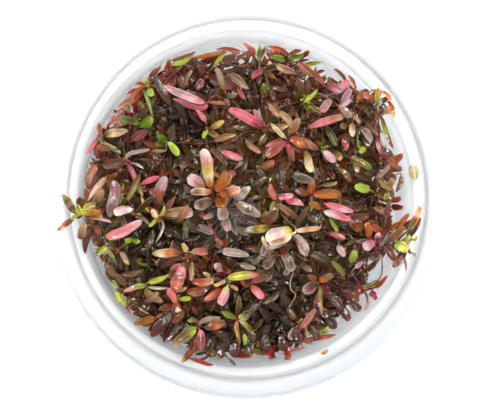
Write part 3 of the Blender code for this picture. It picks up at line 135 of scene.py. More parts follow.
    (355, 99, 52.5, "wine", [(345, 96, 327, 80, 12, "wine", 55.0), (351, 97, 336, 84, 9, "lilac_pink", 57.0), (352, 99, 341, 105, 7, "pale_pink", 56.0), (346, 79, 335, 68, 5, "brown", 55.2), (356, 84, 349, 75, 5, "orange", 55.2), (364, 100, 367, 88, 10, "brown", 54.5), (366, 105, 371, 114, 9, "brown", 53.0)]),
    (378, 108, 52.5, "rust", [(375, 102, 379, 92, 6.5, "orange", 55.2), (382, 105, 380, 86, 6.5, "olive_yellow", 56.4), (385, 102, 392, 92, 5.5, "amber_brown", 61.6), (386, 111, 393, 117, 7, "maroon", 55.0), (388, 106, 397, 117, 7.5, "cream", 57.0), (384, 117, 396, 148, 5.5, "olive_rust", 55.6)]),
]


def site(u, v, z):
    """The point at height z that lies on the line from EYE through plan position (u, v) on the rim plane."""
    x = (u - MID_U) * STEP
    y = (MID_V - v) * STEP
    k = (RIM_Z - z) / (EYE[2] - RIM_Z)
    return Vector((x + (x - EYE[0]) * k, y + (y - EYE[1]) * k, z))


def wall_inner(z):
    """Inner radius of the tapering wall at height z."""
    return WALL_FOOT_R + (z - FLOOR_Z) * (WALL_TOP_R - WALL_FOOT_R) / (LEDGE_Z - FLOOR_Z)


def clear_of_cup(points):
    """True if every point keeps its distance from the cup."""
    for p in points:
        r = math.hypot(p.x, p.y)
        if p.z < LEDGE_Z + 0.5:
            limit = wall_inner(min(p.z, LEDGE_Z)) - 0.5
        elif p.z < RIM_Z + 0.4:
            limit = RISER_FOOT_R - 0.4
        else:
            limit = RIM_R - 0.4
        if r > limit or p.z < GEL_TOP + 0.5:
            return False
    return True


def bezier(p0, p1, p2, p3, t):
    a = 1.0 - t
    return p0 * (a * a * a) + p1 * (3 * a * a * t) + p2 * (3 * a * t * t) + p3 * (t * t * t)


class Leaf:
    """One leaf blade on a centre line, with a stalk first when it starts away from the stem."""

    def __init__(self, root, out, base, tip, width, colour, arch, roll, sweep=0.0):
        self.root, self.out, self.tip, self.width, self.colour = root, out, tip, width, colour
        self.roll = roll
        self.stalk = base is not None and (base - root).length > 1.6
        self.base = base if self.stalk else root
        up = Vector((0, 0, 1))
        span = tip - self.base
        self.length = span.length
        flat = Vector((span.x, span.y, 0))
        flat = flat.normalized() if flat.length > 1e-6 else out.copy()
        side = Vector((-flat.y, flat.x, 0))
        lead = flat if self.stalk else (out * 0.6 + flat * 0.4).normalized()
        self.p1 = self.base + lead * (0.32 * self.length) + up * (arch * self.length) + side * (sweep * self.length)
        self.p2 = tip - flat * (0.34 * self.length) + up * (arch * 0.9 * self.length) + side * (sweep * self.length)
        if self.stalk:
            gap = (self.base - root).length
            self.q1 = root + out * (0.4 * gap)
            self.q2 = self.base - (self.p1 - self.base).normalized() * (0.35 * gap)

    def centre(self, t):
        """t from -1 to 0 along the stalk, 0 to 1 along the blade."""
        if t < 0:
            return bezier(self.root, self.q1, self.q2, self.base, 1.0 + t)
        return bezier(self.base, self.p1, self.p2, self.tip, t)

    def frame(self, t):
        """Side and normal of the blade at t."""
        e = 0.02
        lo = -1.0 if self.stalk else 0.0
        ahead = self.centre(min(1.0, t + e)) - self.centre(max(lo, t - e))
        ahead.normalize()
        side = Vector((-ahead.y, ahead.x, 0))
        if side.length < 1e-5:
            side = Vector((-self.out.y, self.out.x, 0))
        side.normalize()
        normal = ahead.cross(side)
        turn = self.roll * max(0.0, min(1.0, (t + 0.1) * 3))
        c, s = math.cos(turn), math.sin(turn)
        return ahead, side * c + normal * s, normal * c - side * s

    def ring(self, t, half_width, half_thick):
        """Four corners round the centre line: right under, left under, left over, right over."""
        mid = self.centre(t)
        _, side, normal = self.frame(t)
        return [
            mid - side * half_width - normal * half_thick,
            mid + side * half_width - normal * half_thick,
            mid + side * half_width + normal * half_thick,
            mid - side * half_width + normal * half_thick,
        ]

    def stations(self):
        """(t, half width, half thickness) of each ring of the simple blade, without the tip."""
        half = self.width / 2
        rows = []
        if self.stalk:
            rows.append((0.0, 0.42, 0.3))
        if self.length > LONG_LEAF:
            rows += [(0.36, half, LEAF_THICK / 2), (0.76, half * 0.72, LEAF_THICK / 2 - 0.03)]
        else:
            rows += [(0.5, half, LEAF_THICK / 2)]
        return rows

    def hull(self, grow, start):
        """A closed envelope of the leaf, grown by `grow`, from t = start on, as vertices and faces."""
        rows = [(t, w + grow, h + grow) for t, w, h in self.stations() if t > start + 0.05]
        first_half = 0.42 if start <= 0.0 else self.width * 0.4
        rows.insert(0, (start, first_half + grow, 0.32 + grow))
        verts = []
        for t, w, h in rows:
            verts += self.ring(t, w, h)
        faces = [(3, 2, 1, 0)]
        for i in range(len(rows) - 1):
            for j in range(4):
                k = (j + 1) % 4
                faces.append((4 * i + j, 4 * i + k, 4 * i + 4 + k, 4 * i + 4 + j))
        last = 4 * (len(rows) - 1)
        ahead = self.frame(1.0)[0]
        verts.append(self.tip + ahead * grow)
        for j in range(4):
            faces.append((last + j, last + (j + 1) % 4, len(verts) - 1))
        return verts, faces


class Crowd:
    """Everything placed so far, to keep each new leaf clear of it."""

    def __init__(self):
        self.items = []
        self.low = []
        self.high = []

    def add(self, owner, verts, faces, near=None):
        self.items.append((owner, BVHTree.FromPolygons(verts, faces), near))
        self.low.append([min(p[i] for p in verts) for i in range(3)])
        self.high.append([max(p[i] for p in verts) for i in range(3)])
        self.boxes = None

    def close_ones(self, verts):
        if self.boxes is None:
            self.boxes = (np.array(self.low), np.array(self.high))
        low = np.array([min(p[i] for p in verts) for i in range(3)])
        high = np.array([max(p[i] for p in verts) for i in range(3)])
        hit = ((self.boxes[0] <= high) & (self.boxes[1] >= low)).all(axis=1)
        return [self.items[i] for i in np.nonzero(hit)[0]]


class Plantlet:
    """A stem with leaf nodes from the crown down."""

    def __init__(self, index, row):
        u, v, z, self.family, self.named = row
        self.index = index
        self.name = "plantlet_%02d" % (index + 1)
        self.crown = site(u, v, z)
        reach = math.hypot(self.crown.x, self.crown.y)
        pull = min(0.8, 33.0 / max(reach, 1.0))
        self.foot = Vector((self.crown.x * pull, self.crown.y * pull, STEM_FOOT))
        self.nodes = []      # (z, turn of the ring, {face: leaf})

    def axis(self, z):
        """Centre of the stem at height z."""
        s = max(0.0, min(1.0, (z - STEM_UP) / (self.crown.z - STEM_UP)))
        k = s ** 1.35
        return Vector((self.foot.x + (self.crown.x - self.foot.x) * k, self.foot.y + (self.crown.y - self.foot.y) * k, z))

    def face_root(self, z, turn, face):
        a = turn + face * math.pi / 2
        out = Vector((math.cos(a), math.sin(a), 0))
        return self.axis(z) + out * STEM_HALF, out

    def stem_rings(self):
        """(z, half width, turn) of every ring of the stem, bottom to top."""
        nodes = sorted(self.nodes, key=lambda n: n[0])
        rings = [(STEM_FOOT, STEM_HALF, nodes[0][1]), (STEM_UP - 0.9, STEM_HALF, nodes[0][1])]
        for z, turn, _ in nodes:
            rings += [(z - NODE_HALF, STEM_HALF, turn), (z + NODE_HALF, STEM_HALF, turn)]
        return rings

    def corners(self, z, half, turn):
        mid = self.axis(z)
        r = half * math.sqrt(2)
        return [mid + Vector((math.cos(turn + (k - 0.5) * math.pi / 2) * r, math.sin(turn + (k - 0.5) * math.pi / 2) * r, 0)) for k in range(4)]

    def apex(self):
        return self.axis(self.crown.z) + Vector((0, 0, NODE_HALF + 0.8))

    def stem_hull(self, grow):
        """The stem as a closed envelope grown by `grow`."""
        verts, faces = [], [(3, 2, 1, 0)]
        heights = [STEM_FOOT, STEM_UP]
        while heights[-1] + 6 < self.crown.z:
            heights.append(heights[-1] + 6)
        heights.append(self.crown.z + NODE_HALF)
        for z in heights:
            verts += self.corners(z, STEM_HALF + grow + 0.08, 0.4)
        for i in range(len(heights) - 1):
            for j in range(4):
                k = (j + 1) % 4
                faces.append((4 * i + j, 4 * i + k, 4 * i + 4 + k, 4 * i + 4 + j))
        last = 4 * (len(heights) - 1)
        verts.append(self.apex() + Vector((0, 0, grow)))
        for j in range(4):
            faces.append((last + j, last + (j + 1) % 4, len(verts) - 1))
        return verts, faces


def sort_faces(plant):
    """Shares the named leaves out over the stem's nodes, each on the side it leaves from."""
    left = list(plant.named)
    top = plant.crown.z
    turn = 0.0
    level = 0
    while left or level < 2:
        z = top - level * NODE_PITCH
        taken = {}
        if left:
            bearings = []
            for row in left:
                aim = site(row[0], row[1], row[6])
                if (aim - plant.crown).xy.length < 1.0:
                    aim = site(row[2], row[3], row[6])
                d = aim - plant.crown
                bearings.append(math.atan2(d.y, d.x))
            fit = bearings[0]
            turn += (fit - turn + math.pi / 4) % (math.pi / 2) - math.pi / 4
            rest = []
            for row, bearing in zip(left, bearings):
                face = round((bearing - turn) / (math.pi / 2)) % 4
                miss = abs((bearing - turn - face * math.pi / 2 + math.pi) % (2 * math.pi) - math.pi)
                if face in taken or miss > math.radians(44):
                    rest.append(row)
                else:
                    taken[face] = row
            left = rest
        else:
            turn += math.pi / 4
        plant.nodes.append([z, turn, taken])
        level += 1


def along_edges(verts):
    """The corners of an envelope past its root, and points on its long edges between them."""
    points = []
    for i in range(4, len(verts)):
        behind = verts[i - 4:i] if i == len(verts) - 1 else verts[i - 4:i - 3]
        points.append(verts[i])
        for other in behind:
            points += [other.lerp(verts[i], k) for k in (0.2, 0.4, 0.6, 0.8)]
    return points


def hits(crowd, owner, leaf, grow):
    """True if the leaf comes too near anything placed, other than the stem it grows from."""
    verts, faces = leaf.hull(grow, -1.0 if leaf.stalk else 0.0)
    if not clear_of_cup(along_edges(verts)):
        return True
    near = crowd.close_ones(verts)
    if not near:
        return False
    tree = BVHTree.FromPolygons(verts, faces)
    trimmed = None
    for who, other, part in near:
        if who != owner:
            if tree.overlap(other):
                return True
            continue
        if trimmed is None:
            begin = (-1.0 + 1.7 / max((leaf.base - leaf.root).length, 1.8)) if leaf.stalk else min(0.5, 1.7 / leaf.length)
            a, b = leaf.hull(grow * 0.5, begin)
            trimmed = BVHTree.FromPolygons(a, b)
        if trimmed.overlap(other) or (part is not None and tree.overlap(part)):
            return True
    return False


def place(crowd, plant, leaf):
    verts, faces = leaf.hull(0.0, -1.0 if leaf.stalk else 0.0)
    begin = (-1.0 + 1.7 / max((leaf.base - leaf.root).length, 1.8)) if leaf.stalk else min(0.5, 1.7 / leaf.length)
    a, b = leaf.hull(0.0, begin)
    crowd.add(plant.index, verts, faces, BVHTree.FromPolygons(a, b))


LIFTS = (0.0, 0.5, -0.5, 1.0, -1.0, 1.6, -1.6, 2.2, -2.2, 2.9, -2.9, 3.6, -3.6, 4.3, -4.3)
SHRINKS = ((1.0, 1.0), (0.85, 1.0), (0.85, 0.85), (0.7, 0.7), (0.6, 0.55), (0.6, 0.4))


def named_leaf(plant, z, turn, face, row, lift, thin, short):
    bu, bv, tu, tv, w, colour, tz = row
    root, out = plant.face_root(z, turn, face)
    tu, tv = bu + (tu - bu) * short, bv + (tv - bv) * short
    tip = site(tu, tv, tz + lift)
    base = site(bu, bv, (z + tz) / 2 + 0.2 + lift * 0.8)
    rng = random.Random(int(bu * 31 + tv * 17))
    roll = math.radians(rng.uniform(-16, 16))
    sweep = rng.uniform(-0.06, 0.06)
    return Leaf(root, out, base, tip, w * STEP * thin, colour, 0.10, roll, sweep)


def free_leaf(plant, z, turn, face, length, width, rise, yaw, colour, rng_roll, arch):
    root, out = plant.face_root(z, turn, face)
    a = math.atan2(out.y, out.x) + yaw
    tip = root + Vector((math.cos(a) * math.cos(rise), math.sin(a) * math.cos(rise), math.sin(rise))) * length
    return Leaf(root, out, None, tip, width, colour, arch, rng_roll)


def grow_named(plants, crowd):
    """Places every named leaf, moving it up or down its sight line until it is clear."""
    for plant in plants:
        sort_faces(plant)
    for plant in plants:
        crowd.add(plant.index, *plant.stem_hull(0.0))
    missed = []
    order = [(plant, node, face) for plant in plants for node in plant.nodes for face in sorted(node[2])]
    order.sort(key=lambda o: (-o[1][2][o[2]][4] * math.hypot(o[1][2][o[2]][0] - o[1][2][o[2]][2], o[1][2][o[2]][1] - o[1][2][o[2]][3]), o[0].index, o[2]))
    later = []
    for plant, node, face in order:
        row = node[2][face]
        found = seek(plant, node, face, row, crowd)
        if found:
            node[2][face] = found
            place(crowd, plant, found)
        else:
            del node[2][face]
            later.append((plant, row))
    for plant, row in later:
        aim = site(row[0], row[1], row[6]) - plant.crown
        if aim.xy.length < 1.0:
            aim = site(row[2], row[3], row[6]) - plant.crown
        bearing = math.atan2(aim.y, aim.x)
        tries = []
        for level, node in enumerate(plant.nodes):
            for face in range(4):
                if face not in node[2]:
                    miss = abs((bearing - node[1] - face * math.pi / 2 + math.pi) % (2 * math.pi) - math.pi)
                    if miss < math.radians(100):
                        tries.append((miss + 0.2 * level, level, face))
        for _, level, face in sorted(tries):
            node = plant.nodes[level]
            found = seek(plant, node, face, row, crowd)
            if found:
                node[2][face] = found
                place(crowd, plant, found)
                break
        else:
            missed.append((plant.name, row))
    return missed


def seek(plant, node, face, row, crowd):
    """The named leaf at the nearest height, then at the nearest size, where it is clear."""
    for thin, short in SHRINKS:
        for lift in LIFTS:
            leaf = named_leaf(plant, node[0], node[1], face, row, lift, thin, short)
            if leaf.length > 0.9 and not hits(crowd, plant.index, leaf, KEEP_APART):
                leaf.lift, leaf.cut = lift, thin
                return leaf
    return None


def grow_free(plants, crowd, wanted):
    """Adds plain leaves on free faces until each plantlet has `wanted` leaves, where there is room."""
    for plant in plants:
        rng = random.Random(500 + plant.index)
        for node in plant.nodes:
            for step in (0, 2, 1, 3):
                if sum(len(n[2]) for n in plant.nodes) >= wanted:
                    break
                used = sorted(node[2])
                face = ((used[0] + 2) % 4 if used and (used[0] + 2) % 4 not in node[2] else step)
                if face in node[2]:
                    continue
                length, width = rng.uniform(5.5, 8.0), rng.uniform(1.7, 2.5)
                roll = math.radians(rng.uniform(-20, 20))
                for yaw, rise, part in ((0, 5, 1), (25, 5, 1), (-25, 5, 1), (0, 25, 1), (0, -20, 1), (30, 25, 0.8), (-30, 25, 0.8), (0, 45, 0.8), (0, -40, 0.8), (0, 10, 0.6), (35, -25, 0.6), (-35, -25, 0.6)):
                    leaf = free_leaf(plant, node[0], node[1], face, length * part, width, math.radians(rise), math.radians(yaw), plant.family, roll, 0.1)
                    if not hits(crowd, plant.index, leaf, KEEP_APART):
                        node[2][face] = leaf
                        place(crowd, plant, leaf)
                        break


def lay_out():
    """Every plantlet with its named and first plain leaves, and the leaves that found no room."""
    plants = [Plantlet(i, row) for i, row in enumerate(PLANTS)]
    crowd = Crowd()
    missed = grow_named(plants, crowd)
    grow_free(plants, crowd, FEWEST_LEAVES)
    return plants, crowd, missed


FEWEST_LEAVES = 5

# ---------------------------------------------------------------- colours
# sRGB colour words; a leaf's colour name is read from its base to its tip.
WORDS = {
    "amber": (176, 100, 34), "beige": (218, 186, 154), "black": (60, 48, 26), "brown": (114, 68, 34), "clear": (140, 116, 100),
    "cream": (226, 198, 152), "crimson": (160, 44, 46), "dark": (78, 58, 32), "green": (112, 132, 36),
    "grey": (150, 130, 108), "lilac": (188, 142, 156), "lime": (166, 184, 62), "magenta": (166, 62, 84),
    "maroon": (106, 44, 34), "mauve": (158, 124, 116), "olive": (114, 94, 30), "orange": (184, 92, 36),
    "peach": (220, 160, 122), "pink": (222, 120, 134), "purple": (98, 50, 52), "red": (158, 52, 36),
    "rim": (222, 190, 162), "root": (224, 214, 192), "rose": (176, 88, 88), "rust": (156, 74, 36),
    "salmon": (194, 108, 90), "tan": (176, 136, 92), "white": (228, 212, 200), "wine": (128, 46, 48),
    "yellow": (214, 188, 72),
}
TINTS = {
    "pale": lambda c: tuple(x + (250 - x) * 0.42 for x in c),
    "bright": lambda c: (c[0] * 1.16, c[1] * 1.22, c[2] * 1.05),
    "hot": lambda c: (min(255, c[0] * 1.02), c[1] * 0.88, c[2] * 0.95),
    "dull": lambda c: tuple(x * 0.82 for x in c),
    "dusty": lambda c: tuple(x * 0.85 + 10 for x in c),
}
# Colours of the leaves under the crowns, for each family.
BELOW = {
    "olive": ("olive", "dark_olive", "brown", "olive_brown", "dark", "olive", "rust", "maroon"),
    "brown": ("brown", "maroon", "dark_brown", "brown_rust", "dark", "olive", "brown"),
    "wine": ("wine", "maroon", "brown", "dark_wine", "dark", "maroon"),
    "dark": ("dark", "black", "maroon", "dark_brown", "dark_olive"),
    "rose": ("wine", "brown_rose", "rust", "brown", "maroon", "dark"),
    "rust": ("rust", "brown", "maroon", "brown_rust", "dark"),
    "mauve": ("dark_mauve", "dark", "brown", "dark_grey", "olive", "dark_brown"),
    "orange": ("amber_brown", "rust", "brown", "dark"),
}
# Tone of the leaves under the crowns by place: u, v, how far it reaches, colours.
TONES = [
    (205, 70, 22, ("maroon", "purple", "dark_maroon", "dark_wine")), (180, 75, 16, ("maroon", "maroon_rust", "dark")),
    (240, 58, 14, ("brown", "maroon", "brown_rust")), (236, 86, 19, ("dark_brown", "brown", "dark_grey", "dark")),
    (160, 92, 14, ("dark", "dark_brown", "brown")), (185, 120, 29, ("black", "dark", "black_maroon")),
    (125, 140, 17, ("black_purple", "dark", "maroon")), (140, 108, 15, ("olive", "olive_green", "dark_olive")),
    (112, 160, 15, ("dark_maroon", "brown", "maroon")), (230, 130, 18, ("olive_tan", "brown", "olive_brown", "tan_brown")),
    (203, 150, 18, ("olive_brown", "brown", "dark_grey")), (165, 165, 18, ("brown", "rust", "olive_brown")),
    (180, 190, 14, ("dark", "brown", "dark_maroon")), (142, 172, 12, ("dark", "dark_brown")),
    (162, 202, 12, ("brown_rose", "brown", "dark")), (242, 180, 15, ("dark", "dark_olive", "black")),
    (95, 188, 14, ("brown", "rust", "olive")), (117, 195, 11, ("wine", "olive_brown", "brown")),
    (126, 206, 9, ("dark_olive", "green")), (152, 120, 11, ("black", "dark_olive")),
    (260, 62, 12, ("brown", "rust", "olive")), (300, 70, 19, ("brown", "dark_brown", "brown_rust", "maroon")),
    (270, 88, 15, ("olive_brown", "dark_brown", "maroon")), (300, 92, 12, ("olive_green", "dark_olive", "brown")),
    (326, 76, 13, ("rust", "brown", "maroon")), (281, 116, 16, ("brown_tan", "dark_brown", "brown", "dark_grey")),
    (253, 102, 14, ("dark", "black_maroon", "dark_brown")), (334, 142, 16, ("black", "dark_olive", "dark")),
    (364, 126, 13, ("brown", "maroon", "brown_rose")), (382, 97, 15, ("rust", "amber_brown", "maroon")),
    (258, 166, 23, ("olive", "dark_grey", "olive_brown", "brown")), (300, 174, 14, ("dark_brown", "dark", "brown")),
    (296, 148, 12, ("rust", "brown_rust", "rose_brown")), (352, 168, 22, ("brown", "olive_brown", "maroon", "dark_olive")),
    (385, 150, 11, ("dark_maroon", "maroon", "brown")), (394, 166, 11, ("brown", "rust", "maroon")),
    (330, 190, 14, ("brown", "rust", "dark_brown")), (356, 200, 15, ("dark_olive", "dark", "maroon")),
    (384, 203, 17, ("dark_maroon", "brown", "olive", "maroon")),
    (152, 236, 25, ("black", "dark", "dark_olive")), (118, 230, 12, ("dark_olive", "dark", "olive")),
    (203, 228, 17, ("dark_mauve", "dark", "black")), (232, 214, 20, ("dark_mauve", "mauve", "mauve_grey")),
    (104, 256, 14, ("tan_grey", "grey", "olive_tan")), (130, 264, 16, ("dark", "black", "dark_olive", "black")),
    (152, 262, 13, ("dark", "black", "dark_olive")), (188, 262, 15, ("olive_tan", "amber_brown", "salmon_brown")),
    (228, 250, 18, ("dark_mauve", "dark", "dark_grey")), (215, 270, 14, ("amber_brown", "tan_brown", "rust")),
    (200, 290, 18, ("rust", "brown_rust", "brown", "rose_brown")), (150, 294, 17, ("olive_brown", "dark_olive", "brown")),
    (135, 304, 12, ("dark_brown", "brown")), (160, 316, 13, ("rust", "amber_brown", "brown")),
    (168, 335, 14, ("black", "dark_maroon", "dark_maroon")), (196, 346, 12, ("brown", "dark_maroon", "dark")),
    (228, 304, 16, ("dark", "dark_olive", "black")), (222, 338, 19, ("black", "dark", "dark_brown")),
    (242, 326, 11, ("dark_olive", "olive_green", "dark")), (270, 207, 11, ("olive_tan", "olive", "brown")),
    (286, 214, 10, ("olive_tan", "brown", "tan_brown")), (310, 214, 14, ("dark", "dark_olive")),
    (322, 240, 18, ("dark_olive", "dark", "black", "olive")), (350, 234, 14, ("brown", "dark_mauve", "dark_olive")),
    (366, 214, 13, ("maroon", "dark_maroon", "dark_brown")), (390, 234, 13, ("dark_maroon", "maroon", "dark_brown")),
    (346, 262, 14, ("dark_olive", "dark_green", "dark")), (312, 266, 20, ("olive", "olive_brown", "dark_olive", "brown")),
    (270, 264, 15, ("dark_mauve", "mauve", "grey")), (290, 282, 16, ("dark", "dark_olive", "dark_grey")),
    (268, 320, 23, ("black_maroon", "dark_brown", "black", "dark")), (300, 302, 17, ("dark_brown", "dark_maroon", "dark")),
    (326, 290, 14, ("wine", "brown_rust", "maroon")), (356, 292, 17, ("maroon", "dark_maroon", "brown_rust")),
    (335, 312, 14, ("dark", "dark_maroon")), (292, 338, 15, ("maroon", "dark", "dark_maroon")),
    (320, 330, 11, ("dark_olive", "olive", "brown")), (250, 300, 12, ("brown", "dark_olive", "dark")),
    (254, 344, 12, ("dark_olive", "dark")), (375, 262, 13, ("brown", "maroon", "dark_brown")),
]
# Tone of the outermost leaves, every 45 degrees from the right round by the back.
RIM_TONES = [
    ("brown_rust", "maroon", "rust", "olive"), ("rust", "maroon_rust", "crimson", "brown_rust"),
    ("rust", "olive_rust", "crimson", "maroon"), ("rust", "crimson", "olive", "brown_rust"),
    ("rust", "brown", "brown_rust", "dark_olive"), ("dark_olive", "brown", "olive", "rust"),
    ("brown", "maroon", "brown_rust", "dark_rust"), ("maroon_rust", "maroon", "rust", "brown"),
]


LIT = 0.88


# Leaves that only the visual model has room for: base u, base v, tip u, tip v, width, colour, height of the tip.
EXTRA = [
    (84, 209, 97, 203, 7, "lime_olive", 62.4), (79, 213, 71, 218, 6, "lime", 62.2), (83, 214, 78, 204, 6, "lime_green", 61.8),
    (88, 215, 104, 219, 8, "brown_tan", 60.4), (86, 219, 92, 238, 9, "tan_brown", 59.4), (94, 205, 104, 190, 9, "brown_tan", 58.0),
    (402, 244, 420, 233, 9, "olive_lime", 62.4), (392, 241, 408, 227, 9, "brown_olive", 61.0), (388, 246, 398, 262, 9, "maroon_brown", 60.0),
    (379, 240, 391, 252, 8, "dark_maroon", 58.5), (404, 251, 417, 256, 7, "brown", 61.8), (398, 236, 412, 214, 7, "brown_rust", 61.6),
    (400, 232, 416, 221, 8, "maroon_brown", 62.0), (390, 232, 381, 246, 8, "maroon", 57.5),
    (371, 100, 383, 89, 9, "brown_rust", 59.4), (384, 91, 394, 100, 9, "rust_amber", 60.4), (378, 104, 387, 114, 9, "maroon", 58.8),
    (360, 99, 366, 89, 9, "amber_brown", 57.2), (365, 93, 376, 98, 8, "orange_brown", 58.0), (386, 112, 397, 105, 8, "tan_cream", 60.4),
    (380, 105, 380, 86, 6, "olive_green_amber", 61.0), (376, 110, 384, 118, 7, "brown_maroon", 57.6), (390, 100, 396, 110, 6, "rust", 60.4),
    (336, 92, 350, 80, 10, "lilac_pink", 58.2), (344, 101, 353, 88, 8, "mauve_lilac", 58.4), (328, 86, 342, 92, 9, "wine_lilac", 57.0),
    (340, 105, 353, 117, 8, "tan_mauve", 57.0), (350, 112, 360, 124, 7, "brown_tan", 56.4), (362, 127, 373, 143, 8, "brown_mauve", 56.6),
    (368, 122, 380, 136, 6, "brown", 56.2), (346, 110, 334, 116, 6, "dusty_rose", 56.6),
    (222, 151, 243, 159, 8, "rose_pink", 57.6), (156, 79, 172, 106, 11, "dark_brown", 54.6), (145, 93, 153, 119, 4, "green", 55.0),
    (222, 61, 247, 53, 11, "maroon_brown", 55.2), (216, 69, 224, 91, 8, "grey_olive", 54.2), (230, 74, 249, 89, 9, "brown_grey", 54.6),
    (184, 86, 192, 70, 5, "olive_grey", 54.6), (132, 141, 147, 132, 9, "wine_maroon", 53.6), (97, 166, 88, 189, 9, "rust_brown", 54.6),
    (139, 176, 127, 201, 7, "olive_green", 54.8), (158, 203, 166, 177, 12, "brown_lilac", 55.4), (214, 141, 236, 135, 7, "brown_tan", 55.0),
    (146, 85, 131, 101, 5, "rust", 55.0), (124, 108, 109, 128, 4, "crimson_rust", 55.0), (152, 77, 161, 66, 5, "maroon_rust", 55.0),
    (172, 61, 196, 52, 5, "olive_rust", 55.2), (240, 52, 216, 50, 5, "rust_maroon", 55.2), (186, 118, 176, 100, 8, "black_dark", 52.6),
    (277, 65, 296, 73, 8, "tan_brown", 55.0), (300, 63, 314, 76, 10, "rust_brown", 55.0), (312, 70, 326, 86, 7, "rust", 55.0),
    (268, 104, 281, 117, 8, "brown_tan", 55.2), (280, 112, 292, 128, 8, "tan_grey", 55.8), (328, 127, 338, 145, 8, "dark_green", 53.6),
    (302, 139, 319, 150, 8, "orange_brown", 56.2), (352, 157, 375, 169, 10, "olive_green", 55.2), (380, 178, 394, 190, 8, "olive", 55.2),
    (293, 174, 317, 182, 10, "dark_mauve", 54.6), (252, 186, 268, 176, 8, "dark_olive", 54.2), (340, 168, 352, 182, 8, "olive_brown", 54.4),
    (330, 234, 346, 240, 9, "wine_rose", 57.2), (340, 245, 346, 257, 8, "mauve_pink", 56.8), (353, 263, 358, 250, 9, "green_lime", 56.8),
    (357, 268, 365, 263, 6, "lilac_pink", 56.0), (350, 222, 372, 216, 9, "maroon_brown", 57.0), (376, 208, 392, 216, 8, "brown_maroon", 57.0),
    (322, 288, 323, 316, 5, "olive_tan", 55.6), (380, 281, 366, 289, 6, "olive", 55.4), (345, 291, 361, 301, 8, "maroon_rust", 55.4),
    (222, 251, 250, 256, 9, "mauve_grey", 56.4), (240, 264, 256, 269, 7, "dusty_mauve", 55.6), (216, 238, 222, 246, 7, "rose_rust", 56.0),
    (124, 273, 141, 268, 8, "brown_olive", 54.6), (146, 301, 159, 291, 8, "brown_tan", 54.6),
    (160, 204, 160, 190, 8, "brown_rust", 55.6), (196, 226, 214, 233, 9, "dark_mauve", 55.4), (188, 205, 176, 222, 8, "tan_brown", 55.2),
    (262, 300, 250, 314, 8, "maroon_dark", 53.6), (280, 292, 262, 304, 7, "dark_olive", 54.0), (306, 312, 322, 322, 7, "maroon_brown", 54.4),
    (330, 262, 312, 254, 9, "dark_olive", 55.0), (345, 276, 332, 262, 8, "olive_green", 55.2), (300, 262, 312, 272, 7, "dark_grey", 55.2),
    (228, 338, 212, 330, 8, "dark_brown", 53.4), (252, 330, 262, 318, 7, "dark_olive", 53.6), (172, 322, 184, 310, 8, "rust_brown", 55.0),
    (270, 238, 262, 256, 9, "mauve_clear", 57.0), (292, 262, 284, 276, 8, "mauve_grey", 56.2), (210, 150, 226, 166, 7, "brown", 55.6),
    (246, 140, 262, 152, 7, "olive_salmon", 55.2), (306, 214, 322, 222, 7, "dark_olive", 55.6), (404, 176, 398, 192, 6, "olive_brown", 55.4),
    (172, 312, 153, 332, 12, "dark_maroon", 53.4), (180, 318, 163, 341, 12, "dark_maroon", 53.0), (186, 322, 176, 340, 11, "black_dark", 52.6),
    (176, 308, 168, 326, 11, "black_maroon", 52.6), (160, 318, 148, 330, 9, "maroon_brown", 53.6), (196, 336, 190, 354, 11, "rust_brown", 53.6),
    (212, 334, 206, 352, 12, "black_dark", 52.8), (222, 332, 226, 352, 12, "dark_black", 52.8), (216, 346, 222, 358, 9, "dark_brown", 53.4),
    (236, 342, 236, 358, 11, "dark_maroon", 53.4), (248, 344, 252, 356, 10, "dark_olive", 53.2), (264, 334, 268, 350, 11, "black_dark", 52.8),
    (280, 336, 282, 352, 11, "dark_maroon", 53.0), (296, 330, 300, 346, 11, "maroon_dark", 53.2), (312, 326, 318, 342, 10, "dark_brown", 53.4),
    (326, 316, 336, 330, 11, "dark_maroon", 53.2), (338, 308, 350, 322, 11, "dark_maroon", 53.4), (350, 300, 362, 312, 10, "maroon_dark", 53.6),
    (316, 306, 330, 318, 11, "black_maroon", 52.4), (330, 296, 342, 310, 11, "dark_maroon", 52.8), (150, 300, 140, 314, 10, "dark_brown", 53.2),
    (134, 296, 128, 306, 9, "dark_olive", 53.2), (376, 96, 388, 104, 9, "maroon_rust", 57.0), (390, 158, 402, 168, 9, "rust_brown", 56.0),
    (384, 146, 396, 156, 8, "maroon_dark", 56.0), (386, 170, 398, 180, 9, "brown_maroon", 55.6),
    (291, 236, 269, 244, 8, "cream_olive_grey_clear", 62.0), (268, 248, 262, 236, 5, "tan_cream", 60.6), (300, 244, 308, 256, 7, "mauve_clear", 59.0),
    (120, 214, 128, 232, 7, "dark_olive", 54.4), (106, 262, 118, 276, 8, "brown", 53.8), (112, 150, 96, 146, 7, "brown_rust", 54.8),
]
